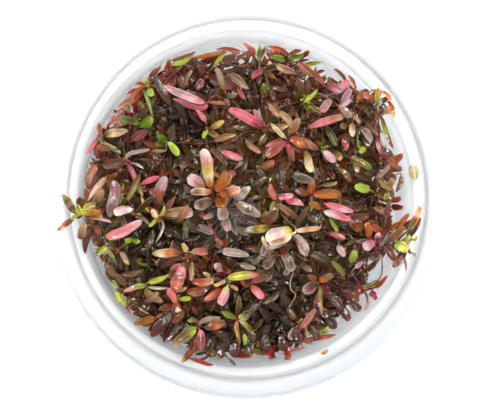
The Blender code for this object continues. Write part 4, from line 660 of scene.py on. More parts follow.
# How some leaves of the plants' table look up close: plant number and colour, then the full colours and the form.
HERO = {
    (1, "olive_grey"): ("olive_dark_grey_dark_green_grey", "fold"), (1, "wine_peach"): ("olive_brown_wine_peach_brown", "fold"),
    (1, "olive_brown"): ("lime_dark_olive_brown_dark_brown", "round"), (1, "lime"): ("lime_lime_green_lime", "fold"),
    (1, "amber"): ("yellow_amber_amber", "flat"), (2, "tan_brown"): ("cream_tan_brown", "cut"),
    (3, "cream_green"): ("olive_cream_tan_grey", "fold"), (5, "beige_pink"): ("tan_beige_beige", "narrow"),
    (5, "wine_brown"): ("wine_dusty_mauve_brown", "flat"), (7, "pale_pink"): ("white_pale_pink_white", "cut"),
    (7, "pink"): ("pale_pink_pink_pink_salmon", "cut"), (7, "orange"): ("orange_red_orange", "flat"),
    (8, "tan_pink"): ("brown_tan_tan_pale_pink", "cut"), (14, "salmon"): ("dusty_pink_rose_brown_salmon_rust", "cut"),
    (14, "tan_cream"): ("brown_amber_orange_cream_tan", "fold"), (14, "cream"): ("cream_yellow_beige", "curl"),
    (14, "pink"): ("peach_pink_rust", "cut"), (15, "orange_rust"): ("peach_orange_rust", "fold"),
    (16, "yellow_tan"): ("lime_yellow_lime_tan_orange", "fold"), (16, "pale_pink"): ("cream_pale_pink_pink_pale_pink", "cut"),
    (18, "lime_olive"): ("cream_lime_olive_dark_green", "fold"), (19, "orange_peach"): ("dark_rust_orange_brown", "flat"),
    (19, "wine_pink"): ("pink_wine_magenta_maroon", "fold"), (19, "olive_lime"): ("lime_olive_olive_tan", "fold"),
    (20, "rust_tan"): ("rust_brown_tan", "fold"), (12, "maroon_rust"): ("dark_maroon", "flat"), (12, "maroon"): ("dark_maroon", "flat"),
    (22, "red_brown"): ("rust_dark_red_brown", "fold"), (24, "dull_rose"): ("dark_wine_dull_rose_mauve", "round"),
    (26, "cream_orange"): ("olive_brown_cream_rust", "fold"), (26, "olive_brown"): ("olive_dark_brown_brown", "fold"),
    (26, "lime"): ("yellow_lime_green", "round"), (28, "pink"): ("pink_lilac_pale_pink", "cut"),
    (28, "salmon_brown"): ("amber_brown_rust_brown", "flat"), (29, "pink"): ("hot_pink_pink_pink_pale_pink_hot_pink", "fold"),
    (29, "pale_pink"): ("white_pale_pink_hot_pink_pink", "fold"), (30, "amber_brown"): ("rust_amber_amber_brown", "flat"),
    (31, "hot_pink"): ("hot_pink_hot_pink_pale_pink_pink", "fold"), (32, "cream_white"): ("yellow_white_pale_pink_white_white", "round"),
    (32, "peach"): ("cream_tan_peach_dusty_peach", "fold"), (32, "pale_pink_mauve"): ("cream_white_pale_pink_white_mauve", "fold"),
    (33, "mauve_clear"): ("brown_clear_dark_clear", "round"),
    (32, "lilac_pink"): ("tan_lilac_white_lilac", "fold"), (34, "olive_white"): ("olive_yellow_olive_white", "curl"),
    (35, "mauve_grey"): ("mauve_grey_dark_mauve_mauve", "round"), (35, "lilac_grey"): ("white_mauve_grey", "cut"),
    (35, "lilac"): ("dark_mauve_mauve_lilac_grey", "round"), (35, "white_grey"): ("grey_white_mauve_white", "fold"),
    (35, "mauve_brown"): ("brown_mauve_dark_mauve", "round"), (36, "cream_yellow_white"): ("amber_cream_yellow_tan_pale_pink_white", "cut"),
    (36, "amber_orange"): ("orange_amber_amber_brown", "round"), (36, "peach_rim"): ("orange_brown_peach_rim", "round"),
    (36, "pale_mauve_pink"): ("tan_mauve_pale_pink_white", "cut"), (36, "peach_brown"): ("orange_peach_brown_mauve", "round"),
    (37, "rose_rust"): ("rose_rose_rust_rose", "cut"), (37, "orange"): ("red_orange_amber_rust", "flat"),
    (38, "tan_white"): ("olive_tan_beige_cream", "cut"), (38, "dusty_rose"): ("wine_dusty_rose", "flat"),
    (39, "pink"): ("tan_rose_pink_dusty_pink_rose", "fold"), (4, "pink"): ("wine_rose_wine_olive_tan", "fold"),
    (54, "orange"): ("brown_rust_amber", "flat"), (54, "olive_yellow"): ("olive_brown_amber", "fold"), (54, "amber_brown"): ("brown_rust", "flat"), (40, "wine_rose"): ("wine_rose_pale_pink_wine", "fold"),
    (43, "grey_green"): ("green_dark_green_grey_green", "fold"), (46, "pale_pink"): ("pink_pale_pink_pale_pink_mauve_lilac_pink", "fold"),
    (46, "rose"): ("hot_pink_rose_pink", "fold"), (49, "hot_pink"): ("wine_hot_pink_pink_hot_pink", "curl"),
    (49, "pale_pink"): ("hot_pink_pale_pink_pink", "fold"), (53, "lilac_pink"): ("mauve_lilac_wine_pink", "fold"),
    (54, "olive_rust"): ("olive_lime_olive_rust", "fold"), (54, "cream"): ("olive_cream_yellow", "fold"),
}
# Form of a blade: where it is widest, how full its outline is, how far its sides rise, how sharp the fold is, its width.
FORMS = {
    "cut": (0.66, 0.30, 0.25, 1.8, 1.0), "round": (0.6, 0.40, 0.3, 1.8, 1.0), "fold": (0.5, 0.55, 0.62, 1.05, 1.0),
    "curl": (0.55, 0.45, 1.1, 1.7, 1.0), "flat": (0.52, 0.5, 0.12, 1.8, 1.0), "narrow": (0.4, 0.7, 0.5, 1.05, 0.62),
}
# Hollows in the foliage, where no crown stands: u, v, how far they reach.
HOLLOWS = [
    (152, 238, 24), (184, 118, 20), (130, 138, 13), (240, 340, 14), (268, 316, 18), (227, 306, 12), (320, 238, 14), (310, 212, 8),
    (333, 140, 9), (255, 166, 13), (334, 178, 9), (178, 190, 9), (205, 338, 8), (246, 98, 11), (290, 290, 10), (204, 236, 9),
    (300, 182, 9), (236, 240, 10), (172, 315, 7), (118, 228, 8),
]


def hollow_at(u, v):
    """How deep in a hollow a place is, 0 at its rim and outside, 1 in its middle."""
    return max([0.0] + [1 - math.hypot(u - a, v - b) / r for a, b, r in HOLLOWS])


def linear(colour):
    """An sRGB colour of 0 to 255 as linear light."""
    out = []
    for c in colour:
        c = max(0.0, min(1.0, c / 255.0))
        out.append(c / 12.92 if c <= 0.04045 else ((c + 0.055) / 1.055) ** 2.4)
    return np.array(out)


def stops(name):
    """The colours along a leaf, base to tip, in linear light."""
    found, tints = [], []
    for word in name.split("_"):
        if word in TINTS:
            tints.append(TINTS[word])
        elif word in WORDS:
            c = WORDS[word]
            for tint in tints:
                c = tint(c)
            tints = []
            found.append(linear(c) * LIT)
    return found


def tone_at(u, v, family, rng):
    """A colour name for a leaf under the crowns, from where it shows in the view."""
    a = (math.degrees(math.atan2(EDGE_V - v, u - EDGE_U)) % 360) / 10
    if math.hypot(u - EDGE_U, v - EDGE_V) > EDGE[int(a) % 36] - 11 and rng.random() < 0.6:
        return rng.choice(RIM_TONES[int(a / 36 * len(RIM_TONES)) % len(RIM_TONES)])
    best = min(TONES, key=lambda row: math.hypot(row[0] - u, row[1] - v) / row[2])
    if math.hypot(best[0] - u, best[1] - v) < best[2] * 1.35 and rng.random() < 0.85:
        return rng.choice(best[3])
    return rng.choice(BELOW[family])


# ---------------------------------------------------------------- fine leaves
class FineLeaf(Leaf):
    """A thin blade that only the visual model has."""

    def stations(self):
        half = self.width / 2
        return ([(0.0, 0.2, 0.2)] if self.stalk else []) + [(0.35, half, 0.13), (0.72, half * 0.75, 0.12)]

    def hull(self, grow, start):
        rows = [(t, w + grow, h + grow) for t, w, h in self.stations() if t > start + 0.05]
        rows.insert(0, (start, (0.28 if start <= 0.0 else self.width * 0.4) + grow, 0.15 + grow))
        verts = []
        for t, w, h in rows:
            verts += self.ring(t, w, h)
        faces = [(3, 2, 1, 0)]
        for i in range(len(rows) - 1):
            for j in range(4):
                k = (j + 1) % 4
                faces.append((4 * i + j, 4 * i + k, 4 * i + 4 + k, 4 * i + 4 + j))
        last = 4 * (len(rows) - 1)
        verts.append(self.tip + self.frame(1.0)[0] * grow)
        for j in range(4):
            faces.append((last + j, last + (j + 1) % 4, len(verts) - 1))
        return verts, faces


# Edge of the foliage in the view, as a distance in steps from the middle, every 10 degrees from the right round by the back.
EDGE_U, EDGE_V = 247.0, 201.0
EDGE = (151, 156, 154, 157, 165, 158, 155, 160, 158, 158, 155, 158, 159, 161, 159, 162, 167, 164,
        164, 166, 160, 160, 164, 163, 164, 168, 164, 158, 158, 160, 159, 155, 148, 146, 149, 153)


def seen_at(p):
    """Where a point falls on the plan grid, seen from EYE."""
    k = (EYE[2] - RIM_Z) / (EYE[2] - p.z)
    return MID_U + (EYE[0] + (p.x - EYE[0]) * k) / STEP, MID_V - (EYE[1] + (p.y - EYE[1]) * k) / STEP


def within_edge(p, inset):
    u, v = seen_at(p)
    du, dv = u - EDGE_U, EDGE_V - v
    a = (math.degrees(math.atan2(dv, du)) % 360) / 10
    i = int(a) % 36
    limit = EDGE[i] + (EDGE[(i + 1) % 36] - EDGE[i]) * (a - int(a))
    return math.hypot(du, dv) < limit - inset


class Sight:
    """Places in the view that a leaf of the tables shows at, so that no small leaf grows over them."""

    def __init__(self):
        self.rows = []
        self.table = None

    def add(self, leaf):
        for t, part in ((0.1, 0.7), (0.25, 0.95), (0.4, 1.0), (0.55, 1.0), (0.7, 0.85), (0.85, 0.6)):
            p = leaf.centre(t)
            self.rows.append((*seen_at(p), p.z, leaf.width / 2 / STEP * part))
        self.table = None

    def veiled_by(self, leaf):
        if self.table is None:
            self.table = np.array(self.rows)
        for t, part in ((0.15, 0.6), (0.4, 0.9), (0.7, 0.8), (1.0, 0.1)):
            p = leaf.centre(t)
            u, v = seen_at(p)
            near = np.hypot(self.table[:, 0] - u, self.table[:, 1] - v) < self.table[:, 3] * 0.8 + leaf.width / 2 / STEP * part
            if (near & (self.table[:, 2] < p.z)).any():
                return True
        return False


sight = Sight()


def try_leaf(plant, crowd, leaf, gap=0.06):
    """Keeps the leaf if it is inside the foliage's edge and clear of everything."""
    if not (within_edge(leaf.tip, 2) and within_edge(leaf.centre(0.5), 4)) or sight.veiled_by(leaf):
        return False
    if hits(crowd, plant.index, leaf, gap):
        return False
    place(crowd, plant, leaf)
    plant.fine.append(leaf)
    return True


POSES = ((0, 8, 1.0), (22, 12, 1.0), (-22, 12, 1.0), (0, 34, 0.95), (0, -22, 0.9), (38, 25, 0.85), (-38, 25, 0.85),
         (0, 55, 0.8), (18, -40, 0.8), (0, 8, 0.62), (34, -10, 0.6), (-34, -10, 0.6), (10, 40, 0.5))
FINE_PITCH = 1.32
LOWEST_LEAF = 21.0


def grow_extra(plants, crowd):
    """The leaves of the EXTRA table, each from the nearest stem that reaches it clear of everything."""
    missed = []
    for row in EXTRA:
        bu, bv, tu, tv, width, colour, high = row
        rng = random.Random(int(bu * 13 + tv * 29))
        roll, arch, sweep = math.radians(rng.uniform(-30, 30)), rng.uniform(0.03, 0.16), rng.uniform(-0.1, 0.1)
        near = sorted(plants, key=lambda q: (q.crown - site(bu, bv, high)).xy.length)[:5]
        kept = None
        for part in (1.0, 0.8, 0.62):
            for lift in LIFTS:
                base, tip = site(bu, bv, high - 1.0 + lift), site(bu + (tu - bu) * part, bv + (tv - bv) * part, high + lift)
                for plant in near:
                    far = (plant.crown - base).xy.length
                    z = max(LOWEST_LEAF, min(plant.crown.z - 0.9, base.z - 0.3 * far - 1.6))
                    centre = plant.axis(z)
                    out = Vector((base.x - centre.x, base.y - centre.y, 0))
                    if out.length < 0.3:
                        out = Vector((tip.x - centre.x, tip.y - centre.y, 0))
                    out.normalize()
                    root = centre + out * STEM_HALF
                    leaf = FineLeaf(root, out, base, tip, width * STEP * (0.5 + 0.5 * part), colour, arch, roll, sweep)
                    if leaf.length > 0.9 and not hits(crowd, plant.index, leaf, 0.05):
                        kept = (plant, leaf)
                        break
                if kept:
                    break
            if kept:
                break
        if kept:
            plant, leaf = kept
            leaf.depth, leaf.plain = 0, False
            place(crowd, plant, leaf)
            plant.fine.append(leaf)
            sight.add(leaf)
        else:
            missed.append((bu, bv, colour))
    return missed


def grow_shoots(plants, crowd):
    """Side shoots that end in small crowns of short leaves, between the main crowns."""
    rng = random.Random(2024)
    taken = [seen_at(plant.crown) for plant in plants]
    spots = []
    v = 50.0
    while v < 362:
        u = 88.0 + (6.0 if int(v / 12) % 2 else 0)
        while u < 405:
            spots.append((u + rng.uniform(-4, 4), v + rng.uniform(-4, 4)))
            u += 12.0
        v += 12.0
    rng.shuffle(spots)
    made = 0
    for u, v in spots:
        if not within_edge(site(u, v, 50.0), 7) or min(math.hypot(u - a, v - b) for a, b in taken) < 10:
            continue
        sink = hollow_at(u, v)
        near = sorted(plants, key=lambda q: (q.crown - site(u, v, q.crown.z)).xy.length)[:4]
        top = sum(q.crown.z for q in near[:3]) / 3
        done = False
        for drop in (0.4, 1.6, 3.0):
            end = site(u, v, min(56.0, top) + 0.8 - drop - 7.0 * sink - rng.uniform(0, 1.2))
            for plant in near:
                z = min(plant.crown.z - 1.2, end.z - 1.2 - rng.uniform(0.2, 1.6))
                centre = plant.axis(z)
                out = Vector((end.x - centre.x, end.y - centre.y, 0))
                if not 1.5 < out.length < 9.5:
                    continue
                out.normalize()
                a = math.atan2(out.y, out.x) + rng.uniform(-0.7, 0.7)
                r = math.radians(rng.uniform(5, 40))
                long = rng.uniform(2.6, 4.6)
                tip = end + Vector((math.cos(a) * math.cos(r), math.sin(a) * math.cos(r), math.sin(r))) * long
                leaf = FineLeaf(centre + out * STEM_HALF, out, end, tip, long * rng.uniform(0.34, 0.5), "dark", rng.uniform(0, 0.16),
                                math.radians(rng.uniform(-40, 40)), rng.uniform(-0.1, 0.1))
                leaf.depth = 1 + 3 * sink
                if leaf.stalk and try_leaf(plant, crowd, leaf):
                    leaf.colour = tone_at(u, v, plant.family, rng)
                    crown_of(plant, crowd, end, a, sink, rng)
                    taken.append((u, v))
                    made += 1
                    done = True
                    break
            if done:
                break
    return made


SPARKS = ("lime", "green", "salmon", "rose", "rust_pink", "tan", "olive_green", "lime_olive", "wine_rose", "amber_orange", "lilac_grey", "cream_tan")


def crown_of(plant, crowd, end, first, sink, rng):
    """A crown at the end of a shoot: pairs of short leaves, the upper pair across the lower one, and two upright ones."""
    count = rng.choice((3, 4, 4, 5))
    spin = first
    spark = rng.choice(SPARKS) if sink <= 0 and rng.random() < 0.17 else None
    for k in range(count + 5):
        if k < count:
            a = spin + (k + 1) * 2 * math.pi / (count + 1) + rng.uniform(-0.25, 0.25)
            rise, long, drop = rng.uniform(-12, 42), rng.uniform(2.3, 4.2), 0.0
        elif k < count + 3:
            a = spin + (k - count + 0.5) * 2 * math.pi / 3 + rng.uniform(-0.3, 0.3)
            rise, long, drop = rng.uniform(-25, 15), rng.uniform(3.0, 5.2), 0.9
        else:
            a, rise, long, drop = rng.uniform(0, 6.28), rng.uniform(50, 75), rng.uniform(1.1, 1.9), -0.15
        out = Vector((math.cos(a), math.sin(a), 0))
        root = end + out * 0.22 - Vector((0, 0, drop))
        wide = rng.uniform(0.36, 0.58)
        for tilt, part in ((0, 1.0), (20, 0.9), (-20, 0.85), (38, 0.7), (8, 0.55)):
            r = math.radians(rise + tilt)
            tip = root + Vector((math.cos(a) * math.cos(r), math.sin(a) * math.cos(r), math.sin(r))) * (long * part)
            leaf = FineLeaf(root, out, None, tip, min(2.3, long * part * wide), "dark", rng.uniform(-0.04, 0.2),
                            math.radians(rng.uniform(-50, 50)), rng.uniform(-0.14, 0.14))
            leaf.depth = 1 + 3 * sink + (1 if drop > 0 else 0)
            if try_leaf(plant, crowd, leaf, 0.03):
                if k >= count + 3 and spark:
                    leaf.colour, leaf.depth = spark, 0
                elif spark and k % 2 == 0 and rng.random() < 0.6:
                    leaf.colour, leaf.depth = spark, 0
                else:
                    leaf.colour = tone_at(*seen_at(leaf.centre(0.6)), plant.family, rng)
                break


def grow_fine(plants, crowd):
    """Leaves on the free faces of every node, then on the nodes between and below them, down the stem."""
    for plant in plants:
        rng = random.Random(70 + plant.index)
        a = rng.uniform(0, 2 * math.pi)
        plant.drift = Vector((math.cos(a), math.sin(a), 0)) * rng.uniform(0.2, 0.75)
    for level in range(0, 30):
        for plant in plants:
            z = plant.crown.z - level * FINE_PITCH
            if z < LOWEST_LEAF:
                continue
            rng = random.Random(9000 + plant.index * 40 + level)
            own = [n for n in plant.nodes if abs(n[0] - z) < 0.1]
            turn = own[0][1] if own else plant.nodes[0][1] + math.pi / 4 * (level % 2) + math.pi / 8 * ((level // 2) % 2)
            faces = [f for f in range(4) if not own or f not in own[0][2]]
            rng.shuffle(faces)
            if level > 8:
                faces = faces[:2]
            elif level > 1:
                faces = faces[:3]
            for face in faces:
                long = rng.uniform(2.6, 5.2) if level < 2 else rng.uniform(3.4, 7.4) if level < 10 else rng.uniform(4.5, 7.0)
                wide = min(3.0, long * rng.uniform(0.28, 0.5))
                roll = math.radians(rng.choice((rng.uniform(-35, 35), rng.uniform(-70, 70), rng.choice((-1, 1)) * rng.uniform(45, 85))))
                lean, swing = rng.uniform(-14, 14), rng.uniform(-20, 20)
                arch = rng.uniform(-0.02, 0.2)
                sweep = rng.uniform(-0.14, 0.14)
                for yaw, rise, part in POSES:
                    root, out = plant.face_root(z, turn, face)
                    a = math.atan2(out.y, out.x) + math.radians(yaw + swing)
                    r = math.radians(rise + lean)
                    way = Vector((math.cos(a) * math.cos(r), math.sin(a) * math.cos(r), math.sin(r)))
                    way = (way + plant.drift * (0.9 if level < 8 else 0.4)).normalized()
                    if way.dot(out) < 0.15:
                        way = (way + out * (0.35 - way.dot(out))).normalized()
                    tip = root + way * (long * part)
                    leaf = FineLeaf(root, out, None, tip, wide * (0.6 + 0.4 * part), "dark", arch, roll, sweep)
                    leaf.depth = level
                    if level < 5 and hollow_at(*seen_at(leaf.centre(0.6))) > 0.15 + 0.12 * level:
                        continue
                    if try_leaf(plant, crowd, leaf):
                        leaf.colour = tone_at(*seen_at(leaf.centre(0.6)), plant.family, rng)
                        break


def grow_buds(plants, crowd):
    """The smallest leaves, upright round each growing tip."""
    for plant in plants:
        rng = random.Random(300 + plant.index)
        z = plant.crown.z + NODE_HALF + 0.2
        for face in range(4):
            for rise in (62, 40, 75):
                root, out = plant.face_root(z, plant.nodes[0][1] + math.pi / 4, face)
                root -= out * 0.15
                a = math.atan2(out.y, out.x) + rng.uniform(-0.3, 0.3)
                r = math.radians(rise)
                long = rng.uniform(1.3, 2.3)
                tip = root + Vector((math.cos(a) * math.cos(r), math.sin(a) * math.cos(r), math.sin(r))) * long
                leaf = FineLeaf(root, out, None, tip, long * 0.42, rng.choice(("rose", "salmon", "lime", "rust", "olive_tan")), 0.05, 0.0)
                leaf.depth = 0
                if try_leaf(plant, crowd, leaf, 0.03):
                    break


def scene_tree(plants, crowd_items):
    verts, faces = [], []
    for a, b in crowd_items:
        start = len(verts)
        verts += a
        faces += [tuple(start + i for i in f) for f in b]
    return BVHTree.FromPolygons(verts, faces)


def cover_gaps(plants, crowd, floor_z, reach, step):
    """Where the view runs down past floor_z between the leaves, a plantlet close by gets one more leaf there."""
    shapes = []
    for plant in plants:
        shapes.append(plant.stem_hull(0.0))
        for _, _, leaves in plant.nodes:
            shapes += [leaf.hull(0.0, -1.0 if leaf.stalk else 0.0) for leaf in leaves.values()]
        shapes += [leaf.hull(0.0, -1.0 if leaf.stalk else 0.0) for leaf in plant.fine]
    tree = scene_tree(plants, shapes)
    eye = Vector(EYE)
    gaps = []
    v = 44.0
    while v < 364:
        u = 84.0 + (step / 2 if int(v / step) % 2 else 0)
        while u < 408:
            p = site(u, v, 50.0)
            if within_edge(p, 3):
                hit = tree.ray_cast(eye, (p - eye).normalized())
                if hit[0] is None or hit[0].z < floor_z:
                    gaps.append((u, v))
            u += step
        v += step
    rng = random.Random(77)
    rng.shuffle(gaps)
    made, added = 0, []
    for u, v in gaps:
        there = False
        for tree2 in added:
            p = site(u, v, 50.0)
            if tree2.ray_cast(eye, (p - eye).normalized())[0] is not None:
                there = True
                break
        if there:
            continue
        done = False
        for z in (48.5, 50.5, 46.5, 52.0, 44.5, 42.0):
            aim = site(u, v, z)
            near = sorted(plants, key=lambda q: (q.axis(min(z - 1, q.crown.z)) - aim).length)[:5]
            for plant in near:
                zr = min(z - 1.0, plant.crown.z - 0.8)
                centre = plant.axis(zr)
                d = aim - centre
                flat = Vector((d.x, d.y, 0))
                if flat.length < 0.8 or flat.length > reach:
                    continue
                out = flat.normalized()
                root = centre + out * STEM_HALF
                for beyond in (rng.uniform(1.2, 2.6), 0.5):
                    tip = aim + out * beyond + Vector((0, 0, 0.3))
                    total = (tip - root).length
                    blade = min(total, rng.uniform(5.5, 8.0))
                    base = root + (tip - root) * (1 - blade / total) if total - blade > 1.7 else None
                    colour = tone_at(u, v, plant.family, rng)
                    leaf = FineLeaf(root, out, base, tip, blade * rng.uniform(0.3, 0.42), colour, 0.08, math.radians(rng.uniform(-20, 20)))
                    leaf.depth = 6
                    if try_leaf(plant, crowd, leaf):
                        a, b = leaf.hull(0.0, -1.0 if leaf.stalk else 0.0)
                        added.append(BVHTree.FromPolygons(a, b))
                        done = True
                        made += 1
                        break
                if done:
                    break
            if done:
                break
    return len(gaps), made


# ---------------------------------------------------------------- mesh of a plantlet
class Skin:
    """Points, faces, colours and leaf coordinates of one piece."""

    def __init__(self):
        self.verts, self.faces, self.colours, self.places = [], [], [], []
        self.count = 0

    def add(self, verts, faces, colours, places):
        start = self.count
        self.verts.append(np.asarray(verts, float))
        self.colours.append(np.asarray(colours, float))
        self.places.append(np.asarray(places, float))
        self.faces += [tuple(start + i for i in f) for f in faces]
        self.count += len(verts)

    def make(self, name, mat):
        verts = np.concatenate(self.verts) * MM
        mesh = bpy.data.meshes.new(name)
        mesh.from_pydata(verts.tolist(), [], self.faces)
        mesh.polygons.foreach_set("use_smooth", [True] * len(mesh.polygons))
        colour = mesh.color_attributes.new("leaf_colour", "FLOAT_COLOR", "POINT")
        rgba = np.ones((len(verts), 4), np.float32)
        rgba[:, :3] = np.clip(np.concatenate(self.colours), 0.0, 1.0)
        colour.data.foreach_set("color", rgba.ravel())
        place = mesh.attributes.new("leaf_place", "FLOAT_VECTOR", "POINT")
        place.data.foreach_set("vector", np.concatenate(self.places).astype(np.float32).ravel())
        mesh.materials.append(mat)
        mesh.update()
        obj = bpy.data.objects.new(name, mesh)
        bpy.context.scene.collection.objects.link(obj)
        return obj


RING_S = np.array([-1.0, -0.72, -0.36, 0.0, 0.36, 0.72, 1.0])


RING_FEW = np.array([-1.0, -0.55, 0.0, 0.55, 1.0])


def blade(skin, leaf, rng, stations, jitter, thick, s=RING_S):
    """A curved, folded blade with a sunk midrib and a thin edge, closed all round."""
    n = stations
    ts = np.linspace(0.0, 1.0, n + 1)
    ts = ts - 0.07 * np.sin(2 * np.pi * ts)
    points, sides, normals = [], [], []
    twist = rng.uniform(-0.55, 0.55) * (1.0 if leaf.depth == 0 else 1.9)
    for t in ts:
        points.append(leaf.centre(float(t)))
        _, side, normal = leaf.frame(float(t))
        c, w = math.cos(twist * t), math.sin(twist * t)
        sides.append(side * c + normal * w)
        normals.append(normal * c - side * w)
    P, S, N = (np.array([tuple(p) for p in q]) for q in (points, sides, normals))
    if not leaf.stalk:
        P[0] -= np.array(tuple(leaf.out)) * 0.28
    ratio = leaf.width / max(leaf.length, 0.1)
    peak = rng.uniform(0.42, 0.56) if ratio < 0.42 else rng.uniform(0.5, 0.62)
    blunt = rng.uniform(0.5, 0.75) if ratio < 0.42 else rng.uniform(0.42, 0.56)
    blunt *= 0.82 if leaf.depth == 0 else 1.22
    vee, form = rng.choice((1.8, 1.8, 1.15)), getattr(leaf, "form", None)
    if form:
        peak, blunt = FORMS[form][:2]
    f = np.sin(np.pi * ts ** (math.log(0.5) / math.log(peak))) ** blunt
    f = np.maximum(f, 0.0) + (0.30 if leaf.stalk else 0.24) * (1 - ts) ** 4
    f[-1] = 0.0
    half = leaf.width / 2 * f * (FORMS[form][4] if form else 1.0)
    uneven = rng.uniform(-0.14, 0.14)
    ripple = rng.uniform(0.02, 0.09)
    cup = rng.choice((rng.uniform(-0.3, 0.3), rng.uniform(0.25, 0.8), rng.uniform(0.5, 1.15))) * min(1.0, 1.7 / max(leaf.width, 0.8))
    if leaf.depth:
        cup = cup * 1.25 + 0.1
    if form:
        cup, vee = FORMS[form][2] * rng.uniform(0.8, 1.2), FORMS[form][3]
    wave = rng.uniform(0.02, 0.08)
    phase, beat = rng.uniform(0, 6.28), rng.uniform(7, 13)
    W = half[:, None] * (1 + uneven * s[None, :] + ripple * np.sin(ts * beat + phase)[:, None] * s[None, :] ** 2 * np.sign(s)[None, :])
    narrow = 1 - 0.16 * max(0.0, cup)
    lift = cup * W * np.abs(s)[None, :] ** vee + wave * leaf.width * np.sin(ts[:, None] * beat + phase + 1.3 * s[None, :]) * np.abs(s)[None, :] ** 2 * (f[:, None] > 0)
    lift += -0.07 * np.exp(-(s[None, :] / 0.2) ** 2) * np.minimum(1, W)
    W = W * narrow
    # a curled tip
    curl = rng.uniform(-0.6, 0.9) * leaf.width * np.clip(ts - 0.6, 0, 1)[:, None] ** 2 * 2.2
    lift = lift + curl
    h = thick * (1 - 0.78 * s[None, :] ** 2) * (1 - 0.45 * ts[:, None])
    top = P[:, None, :] + S[:, None, :] * (W * s[None, :])[..., None] + N[:, None, :] * (lift + h)[..., None]
    low = P[:, None, :] + S[:, None, :] * (W * s[None, :])[..., None] + N[:, None, :] * (lift - h)[..., None]
    m = len(s)
    ring = 2 * m - 2
    verts = np.concatenate([top[:-1], low[:-1, m - 2:0:-1]], axis=1).reshape(-1, 3)
    tip = P[-1] + N[-1] * float(lift[-1, len(s) // 2])
    verts = np.concatenate([verts, [tip, P[0]]])
    faces = []
    for i in range(n - 1):
        a, b = i * ring, (i + 1) * ring
        for j in range(ring):
            k = (j + 1) % ring
            faces.append((a + j, a + k, b + k, b + j))
    last, end, start = (n - 1) * ring, n * ring, n * ring + 1
    for j in range(ring):
        k = (j + 1) % ring
        faces.append((last + j, last + k, end))
        faces.append((k, j, start))
    # the first three points of a ring run left to right over the top, so the skin faces out
    marks = stops(leaf.colour)
    pos = np.linspace(0, 1, max(2, len(marks)))
    table = np.array(marks if len(marks) > 1 else marks * 2)
    tt = np.clip((ts[:-1] - 0.12) / 0.8, 0, 1)
    along = np.stack([np.interp(tt, pos, table[:, c]) for c in range(3)], axis=1)
    ss = np.concatenate([s, s[m - 2:0:-1]])
    under = np.concatenate([np.zeros(m), np.ones(m - 2)])
    col = along[:, None, :] * np.ones((1, ring, 1))
    # painted shade: leaves under the crowns are drawn darker towards their base, by the stem
    if leaf.depth:
        col = col * (0.6 + 0.4 * np.clip(ts[:-1] * 1.4, 0, 1))[:, None, None]
    rim = (np.abs(ss) ** 3)[None, :, None]
    soft = 1.0 if leaf.depth == 0 else 0.55
    # painted highlight: clear and mauve leaves are drawn paler at the edges and the tip
    if "clear" in leaf.colour or "mauve" in leaf.colour:
        rim = np.maximum(rim, (np.clip((ts[:-1] - 0.7) / 0.3, 0, 1) ** 2)[:, None, None])
        col = col * (1 - 0.75 * rim) + np.array([0.52, 0.43, 0.38]) * 0.75 * rim
    # partly a pale margin and partly a painted highlight: the edges are drawn paler; otherwise the edges get the leaf's
    # own red margin
    elif rng.random() < 0.55:
        pale = col * 1.3 + np.array([0.30, 0.18, 0.10]) * 0.35
        col = col * (1 - 0.35 * soft * rim) + pale * 0.35 * soft * rim
    else:
        red = col * np.array([0.85, 0.5, 0.5])
        col = (col * 1.12) * (1 - 0.55 * rim) + red * 0.55 * rim
    rib = np.exp(-(ss / 0.24) ** 2)[None, :, None] * rng.choice((-0.18, 0.2, 0.3)) * soft
    col = col * (1 + rib)
    # underside a little darker; painted light and shade across the blade: one half is drawn lighter and the other
    # darker
    col = col * (1 - 0.10 * under[None, :, None]) * (1 + rng.uniform(-0.2, 0.2) * soft * np.tanh(3 * ss))[None, :, None]
    col = col * jitter[None, None, :]
    col = col.reshape(-1, 3)
    col = np.concatenate([col, [col[-ring], col[0]]])
    place = np.zeros((n, ring, 3))
    place[..., 0] = (ts[:-1] * leaf.length)[:, None]
    place[..., 1] = half[:-1, None] * ss[None, :]
    place[..., 2] = rng.uniform(0, 50)
    place = place.reshape(-1, 3)
    place = np.concatenate([place, [place[-1], place[0]]])
    skin.add(verts, faces, col, place)


def tube(skin, path, radii, sides, colours):
    """A round closed tube along a path."""
    pts = [Vector(p) for p in path]
    verts, cols = [], []
    normal = None
    for i, p in enumerate(pts):
        ahead = (pts[min(i + 1, len(pts) - 1)] - pts[max(i - 1, 0)]).normalized()
        if normal is None:
            normal = ahead.cross(Vector((0.31, 0.17, 0.93)) if abs(ahead.z) < 0.9 else Vector((1, 0, 0))).normalized()
        normal = (normal - ahead * normal.dot(ahead)).normalized()
        other = ahead.cross(normal)
        for k in range(sides):
            a = 2 * math.pi * k / sides
            verts.append(tuple(p + normal * (math.cos(a) * radii[i]) + other * (math.sin(a) * radii[i])))
            cols.append(colours[i])
    faces = [tuple(range(sides - 1, -1, -1))]
    for i in range(len(pts) - 1):
        for k in range(sides):
            n = (k + 1) % sides
            faces.append((i * sides + k, i * sides + n, (i + 1) * sides + n, (i + 1) * sides + k))
    faces.append(tuple((len(pts) - 1) * sides + k for k in range(sides)))
    place = np.array(verts)
    skin.add(verts, faces, cols, place)


# Pale root threads that show among the leaves: plantlet number, then points (u, v, z).
THREADS = [
    (8, ((163, 224, 55.0), (161, 231, 56.0), (157, 240, 55.5), (156, 243, 54.5))),
    (24, ((294, 272, 54.0), (291, 281, 54.8), (291, 289, 54.6), (296, 295, 54.2), (293, 302, 54.0), (289, 308, 53.5))),
    (12, ((139, 307, 53.2), (143, 310, 53.8), (149, 313, 53.5))),
    (23, ((308, 331, 53.2), (311, 338, 53.6), (311, 346, 53.0))),
]


